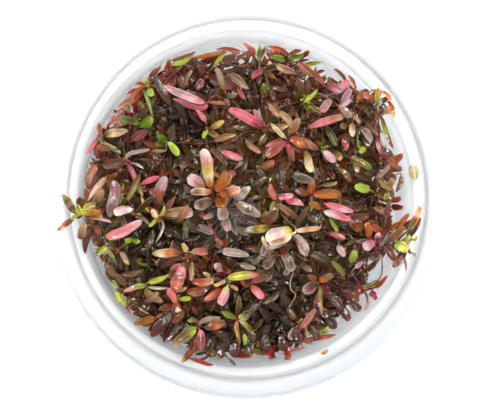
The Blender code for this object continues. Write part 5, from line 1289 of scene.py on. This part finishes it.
def smooth_path(points, parts):
    """Catmull-Rom points through a few places."""
    out = []
    pts = [points[0]] + list(points) + [points[-1]]
    for i in range(1, len(pts) - 2):
        for k in range(parts):
            t = k / parts
            a, b, c, d = pts[i - 1], pts[i], pts[i + 1], pts[i + 2]
            out.append(0.5 * ((2 * b) + (c - a) * t + (2 * a - 5 * b + 4 * c - d) * t * t + (3 * b - a - 3 * c + d) * t ** 3))
    out.append(pts[-2])
    return out


def plantlet_skin(plant):
    skin = Skin()
    rng = random.Random(4000 + plant.index)
    levels = sorted(n[0] for n in plant.nodes)
    z, path, radii, cols = STEM_FOOT, [], [], []
    top = plant.crown.z + NODE_HALF
    stem_low, stem_mid, stem_top = linear((168, 150, 110)), linear((122, 92, 58)), linear((130, 70, 56))
    while z < top + 0.9:
        zz = min(z, top + 0.8)
        bump = 0.0
        for k in range(26):
            bump = max(bump, math.exp(-((zz - (plant.crown.z - k * FINE_PITCH)) / 0.28) ** 2))
        mid = plant.axis(min(zz, plant.crown.z))
        path.append(Vector((mid.x, mid.y, zz)))
        radii.append((0.42 + 0.10 * bump) * (1.0 if zz < top - 0.2 else max(0.25, 1 - (zz - top + 0.2) / 1.1)))
        k = (zz - STEM_FOOT) / (top - STEM_FOOT)
        c = stem_low * max(0, 1 - 2 * k) + stem_mid * (1 - abs(2 * k - 1)) + stem_top * max(0, 2 * k - 1)
        cols.append(c)
        z += 0.7
    tube(skin, path, radii, 7, cols)
    one = np.ones(3)
    for _, _, leaves in plant.nodes:
        for face in sorted(leaves):
            leaf = leaves[face]
            named = leaf.colour != plant.family
            leaf.depth = 0 if named else 1
            if not named:
                leaf.colour = tone_at(*seen_at(leaf.centre(0.6)), plant.family, rng)
            leaf.colour, leaf.form = HERO.get((plant.index + 1, leaf.colour), (leaf.colour, None))
            jitter = one * (rng.uniform(0.94, 1.06) if named else rng.uniform(0.6, 1.15))
            if leaf.stalk:
                shoot(skin, leaf, 0.34, rng)
            blade(skin, leaf, rng, 12, jitter, 0.17)
    for leaf in plant.fine:
        plain = getattr(leaf, "plain", True) and leaf.depth > 0
        # painted light and shade: plain leaves near the top are drawn darker, where the light falls full, and deeper
        # ones lighter, lifting the shade down in the foliage
        painted_light_and_shade = 0.66 + 0.055 * min(leaf.depth, 11) if plain else 1.0
        across, low = seen_at(leaf.centre(0.6))
        # painted shade: leaves are drawn darker towards the lower edge of the view, the side away from the light
        painted_light_and_shade *= 1.0 - 0.5 * min(1.0, max(0.0, (low - 240.0) / 90.0)) * (1.0 if plain else 0.4)
        # painted shade: plain leaves in the hollows are drawn darker
        if plain:
            painted_light_and_shade *= 1.0 - 0.42 * min(1.0, 2.2 * hollow_at(across, low))
        # painted shade: other leaves with a dark, black or maroon colour are drawn darker still, though they stand on
        # top in the light
        elif leaf.colour.startswith(("dark", "black", "maroon")):
            painted_light_and_shade *= 0.66
        spread = (0.88, 1.10) if plain else (0.92, 1.08)
        jitter = one * rng.uniform(*spread) * painted_light_and_shade * np.array([rng.uniform(0.94, 1.06), 1.0, rng.uniform(0.9, 1.08)])
        if leaf.stalk:
            shoot(skin, leaf, 0.21, rng)
        if leaf.length > 4.5 and leaf.depth < 4:
            blade(skin, leaf, rng, 9, jitter, 0.11)
        else:
            blade(skin, leaf, rng, 6, jitter, 0.11, RING_FEW)
    roots(skin, plant, rng)
    for number, row in THREADS:
        if number == plant.index + 1:
            pts = smooth_path([site(*p) for p in row], 6)
            tube(skin, pts, [0.17 - 0.06 * i / len(pts) for i in range(len(pts))], 6, [linear((176, 156, 124))] * len(pts))
    return skin


def shoot(skin, leaf, radius, rng):
    """The stalk or side shoot that carries a blade away from its stem."""
    n = 8
    path = [leaf.centre(-1.0 + i / n) for i in range(n + 1)]
    path[0] = path[0] - leaf.out * 0.3
    first = linear((84, 50, 30))
    last = stops(leaf.colour)[0] * 0.8
    cols = [first + (last - first) * (i / n) for i in range(n + 1)]
    tube(skin, path, [radius * (1 - 0.25 * i / n) for i in range(n + 1)], 6, cols)


def roots(skin, plant, rng):
    """Fine pale roots in the gel, from the foot of the stem."""
    for _ in range(3):
        a = rng.uniform(0, 2 * math.pi)
        p = Vector((plant.foot.x, plant.foot.y, STEM_FOOT + rng.uniform(0.3, 1.6)))
        pts, r = [p], rng.uniform(0.12, 0.17)
        for _ in range(9):
            a += rng.uniform(-0.7, 0.7)
            step = rng.uniform(0.7, 1.3)
            q = p + Vector((math.cos(a) * step, math.sin(a) * step, -rng.uniform(0.2, 0.95)))
            reach = math.hypot(q.x, q.y)
            if reach > 33.8:
                q.x, q.y = q.x * 33.8 / reach, q.y * 33.8 / reach
            q.z = max(q.z, 2.4)
            pts.append(q)
            p = q
        path = smooth_path(pts, 2)
        tube(skin, path, [max(0.05, r * (1 - 0.6 * i / len(path))) for i in range(len(path))], 5, [linear((228, 220, 200))] * len(path))


# ---------------------------------------------------------------- node helpers
def new_material(name):
    mat = bpy.data.materials.new(name)
    mat.use_nodes = True
    tree = mat.node_tree
    return mat, tree.nodes, tree.links, tree.nodes["Principled BSDF"]


def noise_of(nodes, links, vector, scale, detail=3.0, rough=0.5):
    node = nodes.new("ShaderNodeTexNoise")
    node.inputs["Scale"].default_value = scale
    node.inputs["Detail"].default_value = detail
    node.inputs["Roughness"].default_value = rough
    links.new(vector, node.inputs["Vector"])
    return node


def ramp_of(nodes, links, value, low, high, a=0.0, b=1.0):
    node = nodes.new("ShaderNodeMapRange")
    node.inputs["From Min"].default_value = a
    node.inputs["From Max"].default_value = b
    node.inputs["To Min"].default_value = low
    node.inputs["To Max"].default_value = high
    links.new(value, node.inputs["Value"])
    return node.outputs["Result"]


def leaf_material():
    mat, nodes, links, shader = new_material("rotala_leaf")
    tint = nodes.new("ShaderNodeVertexColor")
    tint.layer_name = "leaf_colour"
    where = nodes.new("ShaderNodeTexCoord").outputs["Object"]
    place = nodes.new("ShaderNodeAttribute")
    place.attribute_name = "leaf_place"
    # streaks along the blade, partly the leaf's own streaks and partly painted shade of folds, blotches, and a slow
    # drift between red and green
    stretch = nodes.new("ShaderNodeMapping")
    stretch.inputs["Scale"].default_value = (0.22, 1.9, 1.0)
    links.new(place.outputs["Vector"], stretch.inputs["Vector"])
    streak = noise_of(nodes, links, stretch.outputs["Vector"], 1.0, 2.0, 0.6)
    blotch = noise_of(nodes, links, where, 700.0, 3.0, 0.6)
    drift = noise_of(nodes, links, where, 260.0, 1.0, 0.5)
    light = nodes.new("ShaderNodeMath")
    light.operation = "MULTIPLY"
    links.new(ramp_of(nodes, links, streak.outputs["Fac"], 0.78, 1.24, 0.3, 0.7), light.inputs[0])
    links.new(ramp_of(nodes, links, blotch.outputs["Fac"], 0.78, 1.24, 0.3, 0.7), light.inputs[1])
    grey = nodes.new("ShaderNodeCombineColor")
    for name, low, high in (("Red", 1.06, 0.94), ("Green", 0.92, 1.07), ("Blue", 0.97, 0.93)):
        part = nodes.new("ShaderNodeMath")
        part.operation = "MULTIPLY"
        links.new(ramp_of(nodes, links, drift.outputs["Fac"], low, high, 0.35, 0.65), part.inputs[0])
        links.new(light.outputs["Value"], part.inputs[1])
        links.new(part.outputs["Value"], grey.inputs[name])
    vary = nodes.new("ShaderNodeMix")
    vary.data_type = "RGBA"
    vary.blend_type = "MULTIPLY"
    vary.inputs["Factor"].default_value = 1.0
    links.new(tint.outputs["Color"], vary.inputs["A"])
    links.new(grey.outputs["Color"], vary.inputs["B"])
    links.new(vary.outputs["Result"], shader.inputs["Base Color"])
    # veins that leave the midrib at an angle, and cells between them
    split = nodes.new("ShaderNodeSeparateXYZ")
    links.new(place.outputs["Vector"], split.inputs["Vector"])
    side = nodes.new("ShaderNodeMath")
    side.operation = "ABSOLUTE"
    links.new(split.outputs["Y"], side.inputs[0])
    slant = nodes.new("ShaderNodeMath")
    slant.operation = "SUBTRACT"
    links.new(split.outputs["X"], slant.inputs[0])
    links.new(side.outputs["Value"], slant.inputs[1])
    wave = nodes.new("ShaderNodeMath")
    wave.operation = "SINE"
    scale = nodes.new("ShaderNodeMath")
    scale.operation = "MULTIPLY"
    scale.inputs[1].default_value = 7.0
    links.new(slant.outputs["Value"], scale.inputs[0])
    links.new(scale.outputs["Value"], wave.inputs[0])
    cells = noise_of(nodes, links, where, 2600.0, 2.0, 0.5)
    total = nodes.new("ShaderNodeMath")
    total.operation = "MULTIPLY_ADD"
    total.inputs[1].default_value = 0.12
    links.new(wave.outputs["Value"], total.inputs[0])
    links.new(cells.outputs["Fac"], total.inputs[2])
    bump = nodes.new("ShaderNodeBump")
    bump.inputs["Strength"].default_value = 0.35
    bump.inputs["Distance"].default_value = 0.00012
    links.new(total.outputs["Value"], bump.inputs["Height"])
    links.new(bump.outputs["Normal"], shader.inputs["Normal"])
    film = nodes.new("ShaderNodeBump")
    film.inputs["Strength"].default_value = 1.0
    film.inputs["Distance"].default_value = 0.0007
    wet = noise_of(nodes, links, where, 480.0, 1.5, 0.45)
    links.new(wet.outputs["Fac"], film.inputs["Height"])
    links.new(film.outputs["Normal"], shader.inputs["Coat Normal"])
    links.new(ramp_of(nodes, links, cells.outputs["Fac"], 0.28, 0.5, 0.3, 0.7), shader.inputs["Roughness"])
    shader.inputs["Coat Weight"].default_value = 1.0
    shader.inputs["Coat Roughness"].default_value = 0.04
    shader.inputs["Coat IOR"].default_value = 1.6
    shader.inputs["Specular IOR Level"].default_value = 0.1
    shader.inputs["Subsurface Weight"].default_value = 0.65
    shader.inputs["Subsurface Radius"].default_value = (1.0, 0.45, 0.25)
    shader.inputs["Subsurface Scale"].default_value = 0.0006
    return mat


def plastic_material():
    mat, nodes, links, shader = new_material("frosted_plastic")
    where = nodes.new("ShaderNodeTexCoord").outputs["Object"]
    cloud = noise_of(nodes, links, where, 60.0, 3.0, 0.5)
    fine = noise_of(nodes, links, where, 1500.0, 2.0, 0.5)
    shade = nodes.new("ShaderNodeMix")
    shade.data_type = "RGBA"
    shade.inputs["A"].default_value = (0.895, 0.930, 0.968, 1.0)
    shade.inputs["B"].default_value = (0.915, 0.945, 0.978, 1.0)
    links.new(cloud.outputs["Fac"], shade.inputs["Factor"])
    # painted shade: the flange is drawn greyer than the rest of the cup, and its outer lip greyer still
    plan = nodes.new("ShaderNodeMapping")
    plan.inputs["Scale"].default_value = (1.0, 1.0, 0.0)
    links.new(where, plan.inputs["Vector"])
    radius = nodes.new("ShaderNodeVectorMath")
    radius.operation = "LENGTH"
    links.new(plan.outputs["Vector"], radius.inputs[0])
    dull = nodes.new("ShaderNodeVectorMath")
    dull.operation = "SCALE"
    links.new(shade.outputs["Result"], dull.inputs[0])
    painted_flange_shade = nodes.new("ShaderNodeMath")
    painted_flange_shade.operation = "MULTIPLY"
    links.new(ramp_of(nodes, links, radius.outputs["Value"], 1.0, 0.92, 0.0462, 0.0478), painted_flange_shade.inputs[0])
    links.new(ramp_of(nodes, links, radius.outputs["Value"], 1.0, 0.88, 0.0489, 0.0494), painted_flange_shade.inputs[1])
    links.new(painted_flange_shade.outputs["Value"], dull.inputs["Scale"])
    links.new(dull.outputs["Vector"], shader.inputs["Base Color"])
    links.new(ramp_of(nodes, links, cloud.outputs["Fac"], 0.17, 0.22, 0.3, 0.7), shader.inputs["Roughness"])
    bump = nodes.new("ShaderNodeBump")
    bump.inputs["Strength"].default_value = 0.02
    bump.inputs["Distance"].default_value = 0.00005
    links.new(fine.outputs["Fac"], bump.inputs["Height"])
    links.new(bump.outputs["Normal"], shader.inputs["Normal"])
    # the wall under the ledge is drawn out thinner, and clearer for it
    height = nodes.new("ShaderNodeSeparateXYZ")
    links.new(where, height.inputs["Vector"])
    links.new(ramp_of(nodes, links, height.outputs["Z"], 0.88, 0.42, 0.039, 0.050), shader.inputs["Transmission Weight"])
    links.new(ramp_of(nodes, links, height.outputs["Z"], 0.2, 1.0, 0.039, 0.050), shader.inputs["Subsurface Weight"])
    shader.inputs["IOR"].default_value = 1.45
    shader.inputs["Subsurface Radius"].default_value = (1.0, 1.0, 1.0)
    shader.inputs["Subsurface Scale"].default_value = 0.004
    absorb = nodes.new("ShaderNodeVolumeAbsorption")
    absorb.inputs["Color"].default_value = (0.62, 0.70, 0.78, 1.0)
    absorb.inputs["Density"].default_value = 10.0
    links.new(absorb.outputs["Volume"], nodes["Material Output"].inputs["Volume"])
    return mat


def gel_material():
    mat, nodes, links, shader = new_material("nutrient_gel")
    where = nodes.new("ShaderNodeTexCoord").outputs["Object"]
    cloud = noise_of(nodes, links, where, 90.0, 4.0, 0.6)
    shade = nodes.new("ShaderNodeMix")
    shade.data_type = "RGBA"
    shade.inputs["A"].default_value = (0.86, 0.82, 0.70, 1.0)
    shade.inputs["B"].default_value = (0.95, 0.93, 0.86, 1.0)
    links.new(cloud.outputs["Fac"], shade.inputs["Factor"])
    links.new(shade.outputs["Result"], shader.inputs["Base Color"])
    links.new(ramp_of(nodes, links, cloud.outputs["Fac"], 0.08, 0.25, 0.3, 0.7), shader.inputs["Roughness"])
    bump = nodes.new("ShaderNodeBump")
    bump.inputs["Strength"].default_value = 0.2
    bump.inputs["Distance"].default_value = 0.0003
    links.new(cloud.outputs["Fac"], bump.inputs["Height"])
    links.new(bump.outputs["Normal"], shader.inputs["Normal"])
    shader.inputs["Transmission Weight"].default_value = 0.75
    shader.inputs["IOR"].default_value = 1.34
    absorb = nodes.new("ShaderNodeVolumeAbsorption")
    absorb.inputs["Color"].default_value = (0.75, 0.66, 0.45, 1.0)
    absorb.inputs["Density"].default_value = 60.0
    links.new(absorb.outputs["Volume"], nodes["Material Output"].inputs["Volume"])
    return mat


# ---------------------------------------------------------------- cup and gel
def rounded(section, radius, parts=4):
    """The section with each corner turned into a short arc."""
    out = [section[0]]
    for i in range(1, len(section) - 1):
        a, b, c = (Vector((*section[k], 0)) for k in (i - 1, i, i + 1))
        r = min(radius, 0.42 * (a - b).length, 0.42 * (c - b).length)
        p, q = b + (a - b).normalized() * r, b + (c - b).normalized() * r
        for k in range(parts + 1):
            t = k / parts
            m = p * (1 - t) ** 2 + b * (2 * t * (1 - t)) + q * t * t
            out.append((m.x, m.y))
    out.append(section[-1])
    return out


def turned(name, section, steps, mat):
    """A closed section, both of its ends on the axis, turned about Z."""
    ring = section[1:-1]
    verts = [(0.0, 0.0, section[0][1] * MM), (0.0, 0.0, section[-1][1] * MM)]
    for k in range(steps):
        a = 2 * math.pi * k / steps
        verts += [(r * MM * math.cos(a), r * MM * math.sin(a), z * MM) for r, z in ring]
    n = len(ring)
    faces = []
    for k in range(steps):
        a, b = 2 + k * n, 2 + ((k + 1) % steps) * n
        faces.append((0, a, b))
        for i in range(n - 1):
            faces.append((a + i, a + i + 1, b + i + 1, b + i))
        faces.append((a + n - 1, 1, b + n - 1))
    mesh = bpy.data.meshes.new(name)
    mesh.from_pydata(verts, [], faces)
    mesh.polygons.foreach_set("use_smooth", [True] * len(mesh.polygons))
    mesh.materials.append(mat)
    obj = bpy.data.objects.new(name, mesh)
    bpy.context.scene.collection.objects.link(obj)
    return obj


CUP_LINE = [
    (0.0, FLOOR_Z), (34.9, FLOOR_Z), (36.0, 2.4), (WALL_TOP_R, LEDGE_Z), (RISER_FOOT_R, LEDGE_Z),
    (RISER_TOP_R - 0.1, RIM_Z - 0.6), (RISER_TOP_R + 0.5, RIM_Z), (RIM_R - 0.6, RIM_Z), (RIM_R, RIM_Z - 0.6),
    (RIM_R, RIM_Z - LIP_DROP), (RIM_R - WALL, RIM_Z - LIP_DROP), (RIM_R - WALL, RIM_Z - WALL),
    (RISER_TOP_R + 0.9, RIM_Z - WALL), (RISER_FOOT_R + 0.85, LEDGE_Z - WALL), (WALL_TOP_R + 0.85, LEDGE_Z - WALL),
    (WALL_FOOT_R + 1.1, 1.7), (WALL_FOOT_R - 0.4, 0.0), (0.0, 0.0),
]
GEL_LINE = [(0.0, GEL_TOP), (35.9, GEL_TOP), (36.8, GEL_TOP + 0.45), (35.45, 2.7), (34.5, GEL_FOOT), (0.0, GEL_FOOT)]


def shed_leaf():
    """A pale shed leaf, curled, on the ledge against the riser."""
    skin = Skin()
    a0 = math.radians(9.4)
    out, along = Vector((math.cos(a0), math.sin(a0), 0)), Vector((-math.sin(a0), math.cos(a0), 0))
    mid = out * 43.75 + Vector((0, 0, LEDGE_Z + 1.1))
    root, tip = mid - along * 1.95, mid + along * 1.95
    leaf = Leaf(root, along, None, tip, 2.5, "cream_beige", 0.08, math.radians(-22))
    leaf.stalk, leaf.depth = False, 0
    blade(skin, leaf, random.Random(5), 14, np.ones(3) * 1.05, 0.16)
    return skin


def shed_stem():
    """A crumb of orange stem, thickest in the middle."""
    skin = Skin()
    a0 = math.radians(-63.0)
    out, along = Vector((math.cos(a0), math.sin(a0), 0)), Vector((-math.sin(a0), math.cos(a0), 0))
    up = Vector((0, 0, 1))
    path = [out * (43.85 + r) + along * y + up * (LEDGE_Z + 0.62 + lift) for y, r, lift in
            ((-0.98, 0.0, 0.0), (-0.6, 0.06, 0.08), (-0.1, 0.1, 0.14), (0.4, 0.04, 0.08), (0.98, -0.12, -0.05))]
    path = smooth_path(path, 4)
    n = len(path)
    radii = [0.18 + 0.26 * math.sin(math.pi * min(1, (i + 1) / n)) for i in range(n)]
    tube(skin, path, radii, 10, [linear((196, 122, 46)) * (0.9 + 0.2 * i / n) for i in range(n)])
    return skin


# ---------------------------------------------------------------- build
plants, crowd, missed = lay_out()
for plant in plants:
    plant.fine = []
    for _, _, leaves in plant.nodes:
        for leaf in leaves.values():
            if leaf.colour != plant.family:
                sight.add(leaf)
lost = grow_extra(plants, crowd)
grow_buds(plants, crowd)
shoots = grow_shoots(plants, crowd)
grow_fine(plants, crowd)
print("no room for", len(lost), lost, "shoots", shoots)
found, made = cover_gaps(plants, crowd, 42.0, 11.0, 2.6)
print("leaves", sum(len(p.fine) for p in plants), "gaps", found, made)

leaf_mat = leaf_material()
for plant in plants:
    piece = plantlet_skin(plant).make("rotala_" + plant.name, leaf_mat)
    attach(piece, "root")
    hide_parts(plant.name)

cup = turned("clear_cup", rounded(CUP_LINE, 0.9), 360, plastic_material())
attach(cup, "root")
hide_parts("cup")

gel = turned("gel_disc", rounded(GEL_LINE, 0.8), 240, gel_material())
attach(gel, "root")
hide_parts("nutrient_gel")

for name, skin in (("loose_leaf_bit", shed_leaf()), ("loose_stem_bit", shed_stem())):
    piece = skin.make("shed_" + name, leaf_mat)
    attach(piece, "root")
    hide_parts(name)

# ---------------------------------------------------------------- stage, light and camera
mesh = bpy.data.meshes.new("floor")
mesh.from_pydata([(-4, -4, -0.0004), (4, -4, -0.0004), (4, 4, -0.0004), (-4, 4, -0.0004)], [], [(0, 1, 2, 3)])
floor = bpy.data.objects.new("floor", mesh)
bpy.context.scene.collection.objects.link(floor)
mat, nodes, links, shader = new_material("pale_floor")
where = nodes.new("ShaderNodeTexCoord").outputs["Object"]
tone = noise_of(nodes, links, where, 3.0, 2.0)
mix = nodes.new("ShaderNodeMix")
mix.data_type = "RGBA"
mix.inputs["A"].default_value = (0.38, 0.38, 0.38, 1.0)
mix.inputs["B"].default_value = (0.40, 0.40, 0.40, 1.0)
links.new(tone.outputs["Fac"], mix.inputs["Factor"])
links.new(mix.outputs["Result"], shader.inputs["Base Color"])
shader.inputs["Roughness"].default_value = 0.9
shader.inputs["Specular IOR Level"].default_value = 0.1
shader.inputs["Emission Color"].default_value = (1.0, 1.0, 1.0, 1.0)
shader.inputs["Emission Strength"].default_value = 0.62
mesh.materials.append(mat)

world = bpy.data.worlds.new("studio")
bpy.context.scene.world = world
world.use_nodes = True
world.node_tree.nodes["Background"].inputs["Color"].default_value = (1.0, 1.0, 1.0, 1.0)
world.node_tree.nodes["Background"].inputs["Strength"].default_value = 0.42


def softbox(name, place, long, wide, power, spin=0.0):
    """A strip of soft light turned to face the cup."""
    light = bpy.data.lights.new(name, "AREA")
    light.shape = "RECTANGLE"
    light.size, light.size_y = long, wide
    light.energy = power
    obj = bpy.data.objects.new(name, light)
    bpy.context.scene.collection.objects.link(obj)
    obj.location = place
    turn = (Vector((0, 0, 0.04)) - Vector(place)).to_track_quat("-Z", "Y").to_matrix()
    obj.rotation_euler = (turn @ Matrix.Rotation(spin, 3, "Z")).to_euler()
    return obj


for name, place, long, wide, power, spin in (
        ("back_box", (-0.08, 0.60, 0.82), 0.21, 0.18, 3.0, 0.0), ("left_box", (-0.60, 0.08, 0.80), 0.17, 0.15, 1.5, 0.3),
        ("right_box", (0.46, 0.20, 0.88), 0.17, 0.15, 1.5, -0.5),
        ("low_back", (0.05, 0.60, 0.032), 0.6, 0.05, 7.0, 0.0), ("low_front", (0.10, -0.75, 0.22), 0.7, 0.12, 1.6, 0.0),
        ("low_right", (0.60, 0.10, 0.032), 0.5, 0.05, 6.0, 0.0), ("low_left", (-0.58, 0.33, 0.032), 0.5, 0.05, 8.0, 0.0)):
    softbox(name, place, long, wide, power, spin)
fill = softbox("fill", (-0.05, 0.03, 1.15), 0.5, 0.5, 5.5)
fill.visible_glossy = False
for name, place in (("glint_a", (-0.35, 0.45, 0.70)), ("glint_b", (0.35, 0.50, 0.70))):
    softbox(name, place, 0.13, 0.11, 1.2).visible_diffuse = False

camera = bpy.data.cameras.new("camera")
camera.sensor_width = 36.0
camera.lens = 114.7
camera.dof.use_dof = False
view = bpy.data.objects.new("camera", camera)
bpy.context.scene.collection.objects.link(view)
eye = Vector(EYE) * MM
aim = Vector(((250.0 - MID_U) * STEP, (MID_V - 200.0) * STEP, RIM_Z)) * MM
ahead = (aim - eye).normalized()
right = ahead.cross(Vector((0, 1, 0))).normalized()
up = right.cross(ahead)
turn = Matrix((right, up, -ahead)).transposed().to_4x4()
view.matrix_world = Matrix.Translation(eye) @ turn
bpy.context.scene.camera = view
bpy.context.scene.view_settings.view_transform = "Standard"
bpy.context.scene.view_settings.look = "None"

bpy.context.view_layer.update()
